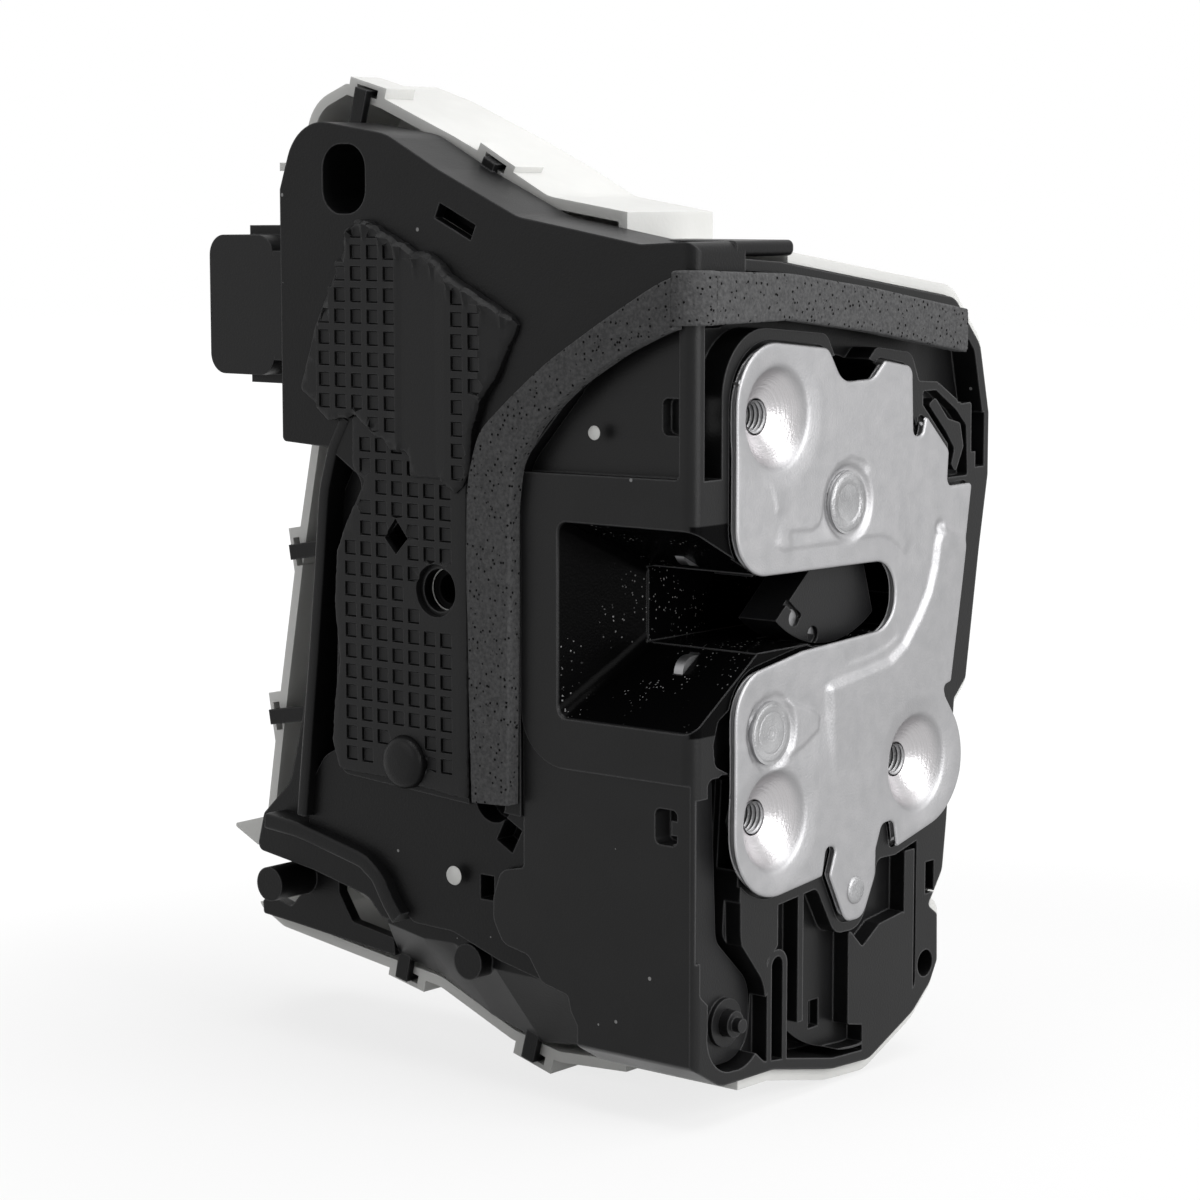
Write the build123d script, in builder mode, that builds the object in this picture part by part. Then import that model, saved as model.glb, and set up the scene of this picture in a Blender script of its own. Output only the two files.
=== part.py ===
from build123d import *
from math import cos, radians, sin
import os

# Millimetres. +X leaves the steel face plate, the striker enters along +Y, +Z is up.
# The origin is the seat of the striker's axis, on the outer face of the plate.

# Striker path
striker_r = 5.0
throat_gap = 1.9
throat_half = striker_r + throat_gap
throat_depth = 26.0
throat_end = 11.2
bumper_t = 3.6

# Steel face plate
plate_t = 2.2
plate_edge_gap = 0.4
plate_left = -42.0
slot_half = 6.3
slot_end = 6.9

# Screw cones pressed into the plate, each ending in a threaded barrel
cone_sites = [(-29.8, 34.5), (-29.8, -37.5), (15.2, -33.0)]
cone_mouth_r = 8.7
cone_throat_r = 4.3
cone_depth = 4.7
thread_r = 3.0
barrel_r = 5.2
barrel_end = 10.0

# Pivots of the claw and the pawl
claw_at = (-8.2, 18.0)
pawl_at = (-31.3, -21.4)
tab_rivet_at = (-5.1, -54.2)
pivot_r = 4.0
pivot_gap = 0.05
head_r = 5.7
head_dish_r = 7.2
head_dish_t = 1.0
head_below = 0.15
tab_head_r = 2.6
tab_shank_r = 1.5

# Claw layer between the plate and the back plate
layer_front = 4.6
layer_back = 13.0
layer_gap = 0.4
core_t = 4.0
core_front = 5.4
claw_r = 26.0
claw_room = 0.9
claw_mouth_turn = -140.5
claw_mouth_half = 5.6
pawl_gap = 0.4
back_plate_t = 2.0
back_front = layer_back + layer_gap
jacket_t = 1.6
pawl_lift = -10.0
swing_room = 0.7
spring_wire_r = 0.75
claw_coil_r = 7.5
pawl_coil_r = 6.0
coil_pitch = 2.3 * spring_wire_r
coil_steps = 16
claw_turns = 4
pawl_turns = 3

# Latch housing
face_x = 1.5
housing_back = throat_depth + 2.0
side_y = -52.5
wall = 2.3
cover_back_y = -38.0
corner_r = 2.5
foam_bend_r = 6.0
low_floor = 7.0
disc_at = (-2.0, -56.5)
disc_r = 28.3
disc_floor = 5.0
crescent_floor = 11.0
upper_recess_y = -50.0
lower_recess_y = -51.9
seam_gap = 0.2

# Actuator cover on the broad side, moulded in four levels
channel_y = -43.5
strip_y = -48.0
low_panel_y = -50.6
cover_front_y = side_y + 2.3
pad_t = 1.2

# Snap hooks of the cover over the rim of the rear cover, as (x, z, outward angle, arm)
snap_sites = [
    (-111.4, 3.8, 190, 21.0),
    (-117.6, -29.7, 190, 21.0),
    (-83.4, -76.6, 258, 7.0),
    (-51.0, -87.0, 255, 7.0),
    (-92.5, 92.2, 75, 9.0),
    (-60.4, 78.6, 62, 6.0),
]
snap_w = 9.6
snap_window = (5.6, 1.7)
hook_w = 3.0
hook_t = 1.1

# White rear cover
cable_at = (-124.0, -56.8)
cable_r = 11.7
cable_top = -57.4
fin_outline = [(-131.7, -53.4, 0.5), (-121.0, -50.4, 0), (-121.0, -56.6, 0), (-124.6, -56.8, 0.5)]
rim_y = -37.0
rear_base_y = -12.0
rear_wall = 2.0
leg_base_t = 2.4
leg_front_x = 3.0
housing_seat_gap = 0.35

# Outside release lever
lever_at = (-39.5, -73.0)
lever_front = 4.6
lever_t = 3.4
lever_end_r = 7.6
lever_pin_r = 2.4
lever_tip_r = 1.3
lever_swing = -7.0

# Lock drive inside the cover
wheel_at = (-56.0, 20.0)
wheel_r = 18.0
wheel_front = 31.0
wheel_t = 7.0
wheel_teeth = 36
post_r = 3.0
worm_r = 3.6
worm_gap = 0.35
motor_r = 10.0
motor_flat = 8.4
motor_len = 28.0
shaft_r = 1.0
lock_lever_at = (-66.0, -24.0)
lock_front = 22.0
lock_t = 2.4
inside_lever_at = (-88.0, -40.0)
inside_front = 34.0
inside_t = 2.4
post_end_y = -18.0
motor_x = -85.0
motor_y = -27.5
worm_z = wheel_at[1] + wheel_r + worm_gap + worm_r
bearing_x = -41.0

# Cover screws
screw_sites = [(-93.0, 60.0), (-108.0, -60.5), (-56.0, -68.0), (-46.0, 60.0)]
screw_post_r = 3.4
screw_r = 1.4
screw_len = 12.0
screw_head_r = 3.4
screw_head_t = 2.2

# Top flange, corner hole and foam seal
flange_back_y = -24.0
corner_hole_at = (-83.7, 76.4)
foam_t = 3.0
foam_front = 2.4

# Connector
blade_w = 0.8
blade_t = 1.8
socket_x = 17.5
socket_z = 27.0
socket_at = (-117.8, 52.3)
socket_front_y = -46.0
socket_back_y = -20.0
socket_wall = 1.6

os.makedirs("parts", exist_ok=True)


def rounded(corners):
    """Closed line through corners given as (u, v, radius)."""
    FilletPolyline(
        *[(u, v) for u, v, _ in corners], radius=[r for _, _, r in corners], close=True
    )


def finish(part, name):
    part.label = name
    export_step(part, f"parts/{name}.step")


# Outlines in the door face plane, as (y, z, corner radius)
plate_outline = [
    (slot_end, slot_half, 6.1),
    (plate_left, slot_half + 0.6, 9),
    (plate_left, 49.0, 11),
    (-14.8, 46.3, 3),
    (-10.4, 40.0, 5),
    (-0.8, 40.2, 4),
    (3.0, 43.4, 1.2),
    (12.0, 42.0, 2.2),
    (12.6, 28.8, 1.4),
    (15.5, 29.0, 1.2),
    (16.6, 32.8, 0.8),
    (24.6, 25.6, 1.6),
    (24.1, 18.8, 1.6),
    (32.7, 18.9, 0.8),
    (26.3, -18.8, 0.5),
    (23.7, -19.4, 0.9),
    (24.4, -21.4, 0.9),
    (31.7, -30.5, 13.5),
    (27.9, -43.8, 13.5),
    (8.5, -48.3, 0.7),
    (7.4, -42.9, 1.6),
    (3.6, -43.2, 1.6),
    (1.7, -47.5, 1.5),
    (1.6, -52.4, 4),
    (-2.4, -60.0, 3.6),
    (-8.0, -59.8, 3.2),
    (-13.2, -50.3, 1.5),
    (-11.2, -45.2, 1.0),
    (-14.2, -44.7, 1.2),
    (-15.4, -50.0, 0.8),
    (plate_left, -52.6, 12.5),
    (plate_left, -10.9, 9),
    (-22.0, -7.7, 14),
    (slot_end, -slot_half, 6.1),
]
plate_rim = [
    (-44.4, 51.4, 12),
    (-13.6, 48.8, 3),
    (-9.6, 42.4, 4),
    (-1.6, 42.6, 3),
    (2.2, 45.8, 2),
    (13.6, 44.4, 3),
    (16.2, 39.0, 1),
    (22.4, 38.6, 1),
    (30.8, 34.0, 1),
    (34.2, 34.2, 0.6),
    (34.4, 21.0, 1),
    (35.0, 16.0, 1),
    (28.6, -18.6, 2),
    (33.9, -30.0, 14),
    (29.8, -45.8, 14),
    (10.0, -50.2, 2),
    (3.8, -50.0, 2),
    (3.6, -53.0, 2),
    (-1.4, -62.2, 5),
    (-9.4, -62.0, 4),
    (-15.2, -52.4, 2),
    (-44.4, -55.0, 14),
]
housing_outline = [
    (side_y, -78.5, 3),
    (-44.0, -83.4, 6),
    (-28.0, -83.6, 4),
    (-10.0, -87.4, 12),
    (2.0, -88.0, 6),
    (16.6, -81.8, 8),
    (22.4, -77.2, 3),
    (24.8, -73.2, 1),
    (24.6, -64.0, 1),
    (21.4, -61.9, 1),
    (26.2, -55.6, 3),
    (27.4, -46.4, 3),
    (29.6, -22.6, 1),
    (33.5, -19.1, 1.5),
    (37.6, 6.0, 10),
    (40.3, 19.9, 3),
    (40.3, 31.8, 2),
    (37.0, 45.0, 5),
    (28.0, 54.2, 5),
    (-28.0, 61.8, 8),
    (side_y, 63.4, 0),
]

# Outlines in the broad side's plane, as (x, z, corner radius)
seam_line = [
    (-36.6, -68.7, 0),
    (-39.8, -64.1, 2),
    (-45.8, -62.9, 3),
    (-48.2, -58.6, 4),
    (-48.2, -54.2, 4),
    (-46.1, -48.9, 3),
    (-40.8, -47.8, 0.5),
    (-40.8, 25.2, 10),
    (-23.2, 44.4, 14),
    (-face_x, 52.4 + seam_gap, 0),
    (-face_x, 65.6, 2),
    (-13.2, 65.0, 8),
    (-31.2, 68.0, 12),
    (-41.0, 69.6, 10),
    (-60.0, 78.0, 14),
    (-73.0, 84.6, 12),
]
strip_line = [
    (-84.8, 24.6, 1),
    (-91.4, 13.0, 8),
    (-95.8, -1.0, 20),
    (-100.6, -27.6, 20),
    (-104.0, -40.0, 6),
    (-111.4, -47.0, 1.5),
    (-113.4, -54.4, 1.5),
    (-98.0, -56.6, 8),
    (-83.4, -59.8, 4),
    (-79.6, -63.6, 3),
]
strip_inner = [
    (-74.6, -63.2, 1),
    (-80.0, -55.6, 4),
    (-84.6, -52.5, 4),
    (-98.7, -49.4, 1),
    (-97.6, -38.3, 8),
    (-95.8, -27.1, 20),
    (-91.4, 0.0, 20),
    (-86.4, 14.0, 8),
    (-81.0, 22.0, 1),
]
cover_outline = (
    [(-95.6, 88.0, 9.5), (-100.4, 74.5, 1), (-100.4, 27.0, 1)] + strip_line
    + [(-74.6, -65.2, 1), (-69.5, -65.2, 3), (-62.0, -64.8, 6), (-51.8, -68.0, 10)] + seam_line
)
panel_outline = [
    (-95.6, 88.0, 9.5),
    (-100.4, 74.5, 1),
    (-100.4, 27.0, 1),
    (-88.5, 26.4, 1),
    (-79.0, 20.6, 3),
    (-85.6, 7.0, 8),
    (-86.8, -20.0, 16),
    (-85.6, -35.4, 2),
    (-40.8, -38.4, 0),
] + seam_line[7:]
low_panel_outline = [
    (-86.0, -30.0, 0),
    (-92.0, -33.0, 6),
    (-96.6, -40.0, 4),
    (-96.4, -48.6, 1),
    (-81.6, -51.2, 4),
    (-77.0, -55.0, 4),
    (-69.4, -62.4, 3),
    (-59.4, -62.6, 6),
    (-47.8, -66.4, 10),
] + seam_line[:7] + [(-40.8, -30.0, 0)]
# Lip from the low panel back to the rear cover's rim, as (x, z) at the back and at the front
scoop_back = [
    (-79.0, -61.4), (-69.5, -63.0), (-62.0, -62.6), (-51.8, -66.0), (-37.4, -68.0),
    (-31.4, -82.6), (-48.0, -84.6), (-60.8, -81.2), (-73.8, -75.4), (-84.5, -73.2),
]
scoop_front = scoop_back[:5] + [
    (-37.0, -69.6), (-51.8, -69.4), (-62.3, -66.0), (-69.9, -66.2), (-79.2, -64.6),
]
cable_clip = [
    (-119.8, -67.0, 0.6),
    (-117.2, -65.8, 0.6),
    (-111.8, -67.2, 1),
    (-106.8, -61.8, 1),
    (-106.8, -55.4, 0),
    (-98.4, -55.4, 0),
    (-98.6, -62.4, 1),
    (-95.0, -67.8, 1),
    (-84.0, -69.4, 0),
    (-83.6, -72.8, 0),
    (-101.8, -71.2, 2),
    (-110.0, -70.4, 1),
    (-119.6, -69.6, 0.6),
]
rear_outline = [
    (-97.6, 94.6, 1.5),
    (-108.4, 90.4, 9),
    (-107.8, 26.0, 3),
    (-112.4, 4.0, 8),
    (-117.4, -24.0, 10),
    (-122.6, -56.0, 5),
    (-124.6, -69.0, 3),
    (-117.4, -72.6, 4),
    (-90.0, -76.4, 6),
    (-75.0, -78.2, 10),
    (-56.6, -85.6, 10),
    (-45.0, -88.0, 8),
    (-housing_back - 0.6, -87.0, 0),
    (-housing_back - 0.6, 70.4, 0),
    (-47.0, 73.2, 8),
    (-58.0, 78.8, 8),
    (-70.0, 84.2, 8),
    (-88.0, 91.6, 5),
]


# Steel face plate, with its slot, pressed cones and rivet dishes
def cone_profile(outer):
    """Half section of one pressed cone, as (radius, depth behind the face)."""
    if outer:
        return [
            (0, 0), (cone_mouth_r + 1.6, 0), (cone_mouth_r + 1.6, plate_t),
            (barrel_r + 0.6, cone_depth + 1.2), (barrel_r, cone_depth + 2.2),
            (barrel_r, barrel_end), (0, barrel_end),
        ]
    return [
        (0, 0), (cone_mouth_r, 0), (cone_throat_r, cone_depth), (thread_r, cone_depth + 0.6),
        (thread_r, barrel_end), (0, barrel_end),
    ]


with BuildPart() as face_plate:
    with BuildSketch(Plane.YZ.offset(-plate_t)):
        with BuildLine():
            rounded(plate_outline)
        make_face()
    extrude(amount=plate_t)
    for y, z in cone_sites:
        axis_plane = Plane(origin=(0, y, z), x_dir=(0, 1, 0), z_dir=(0, 0, 1))
        for outer, mode in ((True, Mode.ADD), (False, Mode.SUBTRACT)):
            with BuildSketch(axis_plane):
                with BuildLine():
                    Polyline(*[(r, d) for r, d in cone_profile(outer)], close=True)
                make_face()
            revolve(axis=Axis((0, y, z), (1, 0, 0)), mode=mode)
    with BuildSketch(Plane.YZ):
        with Locations(claw_at, pawl_at):
            Circle(head_dish_r)
    extrude(amount=-head_dish_t, mode=Mode.SUBTRACT)
    with BuildSketch(Plane.YZ):
        with Locations(claw_at, pawl_at):
            Circle(pivot_r)
        with Locations(tab_rivet_at):
            Circle(tab_shank_r)
    extrude(amount=-plate_t, mode=Mode.SUBTRACT)
finish(face_plate.part, "face_plate")


# Rivets and pins
def pivot_pin(at):
    """Headed pin with a shoulder between the plate and the claw layer."""
    with BuildPart() as pin:
        for front, back, r in (
            (head_below, head_dish_t, head_r),
            (head_dish_t, plate_t, pivot_r),
            (plate_t, layer_front - 0.1, pivot_r + 1.5),
            (layer_front - 0.1, layer_back + layer_gap + back_plate_t, pivot_r),
        ):
            with BuildSketch(Plane.YZ.offset(-back)):
                with Locations(at):
                    Circle(r)
            extrude(amount=back - front)
    return pin.part


finish(pivot_pin(claw_at), "claw_pin")
finish(pivot_pin(pawl_at), "pawl_pin")

with BuildPart() as tab_rivet:
    with BuildSketch(Plane.YZ.offset(-plate_t - 4)):
        with Locations(tab_rivet_at):
            Circle(tab_shank_r)
    extrude(amount=plate_t + 4 - 0.4)
    with BuildSketch(Plane.YZ.offset(-plate_t)):
        with Locations(tab_rivet_at):
            Circle(tab_head_r)
    extrude(amount=-1.2)
finish(tab_rivet.part, "tab_rivet")


# Claw: steel core in a moulded jacket, standing open for the striker
def from_claw(turn, r):
    return (claw_at[0] + r * cos(radians(turn)), claw_at[1] + r * sin(radians(turn)))


def claw_sketch(grow):
    """Claw outline: a disc sector with the striker's mouth cut into it."""
    hook_back = claw_mouth_turn - 48
    lobe_end = claw_mouth_turn + 84
    reach = claw_r + grow
    start = from_claw(hook_back, reach)
    end = from_claw(lobe_end, reach)
    with BuildSketch(mode=Mode.PRIVATE) as shape:
        with BuildLine():
            ThreePointArc(start, from_claw((hook_back + lobe_end) / 2, reach), end)
            Polyline(end, from_claw(lobe_end + 24, 11 + grow), from_claw(90, 9 + grow),
                     from_claw(hook_back - 34, 10.5 + grow), start)
        make_face()
        with Locations(Location((*from_claw(claw_mouth_turn, 21), 0), (0, 0, 1), claw_mouth_turn)):
            SlotOverall(30, 2 * (claw_mouth_half - grow), mode=Mode.SUBTRACT)
        with Locations(claw_at):
            Circle(pivot_r + pivot_gap, mode=Mode.SUBTRACT)
    return shape.sketch


with BuildPart() as claw_core:
    with BuildSketch(Plane.YZ.offset(-core_front - core_t)):
        add(claw_sketch(-jacket_t))
    extrude(amount=core_t)
finish(claw_core.part, "claw_core")

with BuildPart() as claw_jacket:
    with BuildSketch(Plane.YZ.offset(-layer_back)):
        add(claw_sketch(0))
    extrude(amount=layer_back - layer_front)
    with BuildSketch(Plane.YZ.offset(-core_front)):
        with Locations(from_claw(-117, 23), from_claw(-101, 24.5)):
            Circle(1.6)
    extrude(amount=2, mode=Mode.SUBTRACT)
    with BuildSketch(Plane.YZ.offset(-layer_front)):
        with Locations(Location((*from_claw(-124, 21.5), 0), (0, 0, 1), -36)):
            SlotOverall(9, 1.1)
    extrude(amount=-0.7, mode=Mode.SUBTRACT)
    add(claw_core.part, mode=Mode.SUBTRACT)
finish(claw_jacket.part, "claw_jacket")

# Pawl: steel core with a moulded jacket on its pivot and lifting arm
pawl_nose = from_claw(-98, claw_r + pawl_gap)
pawl_outline = [
    (pawl_nose[0], pawl_nose[1], 0.6),
    (pawl_nose[0] + 4.2, pawl_nose[1] - 0.4, 0.8),
    (pawl_nose[0] + 5.0, pawl_nose[1] - 4.4, 1.5),
    (-15.0, -19.0, 4),
    (-25.6, -28.4, 5),
    (-36.6, -29.2, 4),
    (-45.6, -25.0, 1.2),
    (-45.0, -20.6, 1.2),
    (-36.6, -14.0, 4),
    (-27.0, -12.6, 4),
]


def outline_sketch(corners, grow=0, bore_at=None, bore_r=pivot_r + pivot_gap):
    """Filled outline with an optional margin and a round bore."""
    with BuildSketch(mode=Mode.PRIVATE) as shape:
        with BuildLine():
            rounded(corners)
        make_face()
        if grow:
            offset(amount=grow)
        if bore_at:
            with Locations(bore_at):
                Circle(bore_r, mode=Mode.SUBTRACT)
    return shape.sketch


with BuildPart() as pawl_core:
    with BuildSketch(Plane.YZ.offset(-core_front - core_t)):
        add(outline_sketch(pawl_outline, -jacket_t, pawl_at))
    extrude(amount=core_t)
finish(pawl_core.part, "pawl_core")

with BuildPart() as pawl_jacket:
    with BuildSketch(Plane.YZ.offset(-layer_back)):
        add(outline_sketch(pawl_outline, 0, pawl_at))
    extrude(amount=layer_back - layer_front)
    add(pawl_core.part, mode=Mode.SUBTRACT)
finish(pawl_jacket.part, "pawl_jacket")

# Steel back plate that carries the far ends of both pins
back_plate_outline = [
    (12.0, throat_half + 1.2, 3),
    (-40.0, throat_half + 1.2, 3),
    (-40.0, 24.0, 4),
    (-22.0, 27.0, 5),
    (-14.0, 34.0, 6),
    (6.0, 34.0, 6),
    (22.0, 20.0, 5),
    (23.0, -24.0, 5),
    (6.0, -29.0, 5),
    (-24.0, -30.5, 5),
    (-40.0, -30.0, 5),
    (-40.0, -throat_half - 1.2, 3),
    (12.0, -throat_half - 1.2, 3),
]
with BuildPart() as back_plate:
    with BuildSketch(Plane.YZ.offset(-back_front - back_plate_t)):
        add(outline_sketch(back_plate_outline))
        with Locations(claw_at, pawl_at):
            Circle(pivot_r, mode=Mode.SUBTRACT)
    extrude(amount=back_plate_t)
finish(back_plate.part, "back_plate")


# Torsion springs on the two pivots, behind the back plate
def torsion_spring(at, coil_r, turns):
    """Eight-sided wire along a coil of short straight runs."""
    steps = turns * coil_steps
    near = back_front + back_plate_t + spring_wire_r + 0.3
    coil_points = []
    for step in range(steps + 1):
        angle = radians(360 * step / coil_steps)
        x = -near - coil_pitch * (steps - step) / coil_steps
        coil_points.append((x, at[0] + coil_r * cos(angle), at[1] + coil_r * sin(angle)))
    with BuildPart() as spring:
        with BuildLine() as coil:
            Polyline(*coil_points)
        path = coil.wires()[0]
        with BuildSketch(Plane(origin=path @ 0, z_dir=path % 0)):
            RegularPolygon(spring_wire_r, 8)
        sweep(path=path, transition=Transition.RIGHT)
    return spring.part


finish(torsion_spring(claw_at, claw_coil_r, claw_turns), "claw_spring")
finish(torsion_spring(pawl_at, pawl_coil_r, pawl_turns), "pawl_spring")

# Outside release lever, hung on a stepped pin, with a ramp under the pawl's lifting arm
lever_outline = [
    (lever_at[0] - lever_end_r, lever_at[1] + 6, 3),
    (lever_at[0] - lever_end_r, lever_at[1] - lever_end_r, 6.6),
    (lever_at[0] + lever_end_r, lever_at[1] - lever_end_r, 6.6),
    (lever_at[0] + lever_end_r, lever_at[1] + 6, 6.6),
    (-41.6, -58.0, 4),
    (-43.0, -28.4, 0.8),
    (-47.4, -28.4, 0.8),
]
with BuildPart() as release_lever:
    with BuildSketch(Plane.YZ.offset(-lever_front - lever_t)):
        add(outline_sketch(lever_outline, 0, lever_at, lever_pin_r + pivot_gap))
    extrude(amount=lever_t)
    with BuildSketch(Plane.YZ.offset(-lever_front)):
        with Locations(lever_at):
            Circle(lever_pin_r + 2.0)
            Circle(lever_pin_r + pivot_gap, mode=Mode.SUBTRACT)
    extrude(amount=1.0)
finish(release_lever.part, "outside_release_lever")

with BuildPart() as lever_pin:
    for back, front, r in ((14.0, 1.6, lever_pin_r), (1.6, 0.0, lever_tip_r)):
        with BuildSketch(Plane.YZ.offset(-back)):
            with Locations(lever_at):
                Circle(r)
        extrude(amount=back - front)
finish(lever_pin.part, "lever_pin")


def corner_waste(x, y, r):
    """What a round upright corner at (x, y) leaves off the square one."""
    with BuildSketch(mode=Mode.PRIVATE) as shape:
        with Locations((x - r, y)):
            Rectangle(2 * r, r, align=(Align.MIN, Align.MIN))
        with Locations((x - r, y + r)):
            Circle(r, mode=Mode.SUBTRACT)
        with Locations((x, y)):
            Rectangle(2 * r, 2 * r, align=(Align.MIN, Align.MIN))
            Rectangle(4 * r, 2 * r, align=(Align.CENTER, Align.MAX))
    return shape.sketch


# Latch housing: moulded body behind the face plate, with the striker's pocket
def turned(corners, pivot, turn, grow):
    """Outline with a margin, turned about a pivot, as cut for a swinging piece."""
    shape = outline_sketch(corners, grow)
    return shape.rotate(Axis((*pivot, 0), (0, 0, 1)), turn)


side_block_outline = [
    (-40.6, 25.0, 10),
    (-40.6, -47.6, 0.5),
    (-46.0, -48.7, 3),
    (-48.0, -54.2, 4),
    (-48.0, -58.6, 4),
    (-45.6, -62.7, 3),
    (-39.6, -63.9, 2),
    (-36.4, -68.5, 2),
    (-30.2, -69.9, 1),
    (-29.5, -72.8, 1),
    (-26.7, -77.2, 2),
    (-8.0, -77.6, 0),
    (-8.0, 50.0, 0),
    (-23.2, 44.2, 14),
]
frame_outline = [
    (-60.0, 24.5, 0),
    (-60.0, 80.0, 0),
    (-4.6, 80.0, 0),
    (-4.6, 24.8, 1),
    (-40.6, 24.4, 0),
]
low_cut = [
    (-50.0, -46.0, 1),
    (17.4, -46.0, 1),
    (17.4, -77.0, 2),
    (0.0, -84.6, 12),
    (-14.0, -83.6, 8),
    (-31.0, -81.6, 2),
    (-50.0, -66.0, 1),
]
guard_outline = [
    (-38.4, -46.0, 0),
    (-38.2, -58.3, 8),
    (-34.0, -67.4, 3),
    (-32.0, -70.2, 0.8),
    (-30.2, -69.4, 0.6),
    (-30.2, -63.1, 1),
    (-27.1, -61.0, 1),
    (-27.1, -46.0, 0),
]
v_block_outline = [
    (-4.9, -61.8, 0.5),
    (-0.4, -66.0, 0.8),
    (5.2, -62.6, 0.8),
    (13.4, -61.6, 0.5),
    (13.4, -90.0, 0),
    (-0.2, -90.0, 0),
    (-0.2, -81.0, 0.5),
    (-4.9, -80.0, 0.5),
]
upper_ribs = [((17.0, 46.0), (23.4, 38.6)), ((23.6, 45.6), (30.2, 34.6))]
upper_rib_t = 1.4
hook_recess = [
    (17.6, 37.0, 0.6),
    (22.0, 37.0, 0.6),
    (29.0, 33.0, 1),
    (32.6, 29.8, 1),
    (33.2, 20.2, 0.6),
    (26.2, 20.2, 0.4),
    (26.2, 26.6, 0.6),
    (17.6, 34.4, 0.4),
]
hook_bar = [
    (19.6, 34.4, 0.5),
    (21.8, 35.6, 0.8),
    (26.2, 31.4, 1),
    (30.4, 30.4, 1),
    (31.6, 25.8, 1),
    (29.0, 21.0, 0.6),
    (27.6, 22.6, 0.4),
    (28.6, 25.6, 1),
    (25.6, 29.0, 1),
]
hook_floor = 4.0
arch_at = (-27.2, -64.6)
arch_r = 3.0
arch_t = 1.3
low_rib = (-20.9, -19.3, -76.4, -46.0)
low_column = (13.4, 16.6, -84.0, -50.0)


def box_sketch(y_low, y_high, z_low, z_high):
    with BuildSketch(mode=Mode.PRIVATE) as shape:
        with Locations(((y_low + y_high) / 2, (z_low + z_high) / 2)):
            Rectangle(y_high - y_low, z_high - z_low)
    return shape.sketch


def low_standing():
    """What stands on the low face: guard, arch, rib, block with a V and column."""
    with BuildSketch(mode=Mode.PRIVATE) as shape:
        add(outline_sketch(guard_outline))
        add(outline_sketch(v_block_outline))
        add(box_sketch(*low_rib))
        add(box_sketch(*low_column))
        with Locations(arch_at):
            Circle(arch_r)
        add(box_sketch(arch_at[0] - arch_r, arch_at[0] + arch_r, -84.0, arch_at[1]))
        with Locations(arch_at):
            Circle(arch_r - arch_t, mode=Mode.SUBTRACT)
        add(box_sketch(arch_at[0] - arch_r + arch_t, arch_at[0] + arch_r - arch_t, -84.0, arch_at[1]),
            mode=Mode.SUBTRACT)
    return shape.sketch


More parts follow.
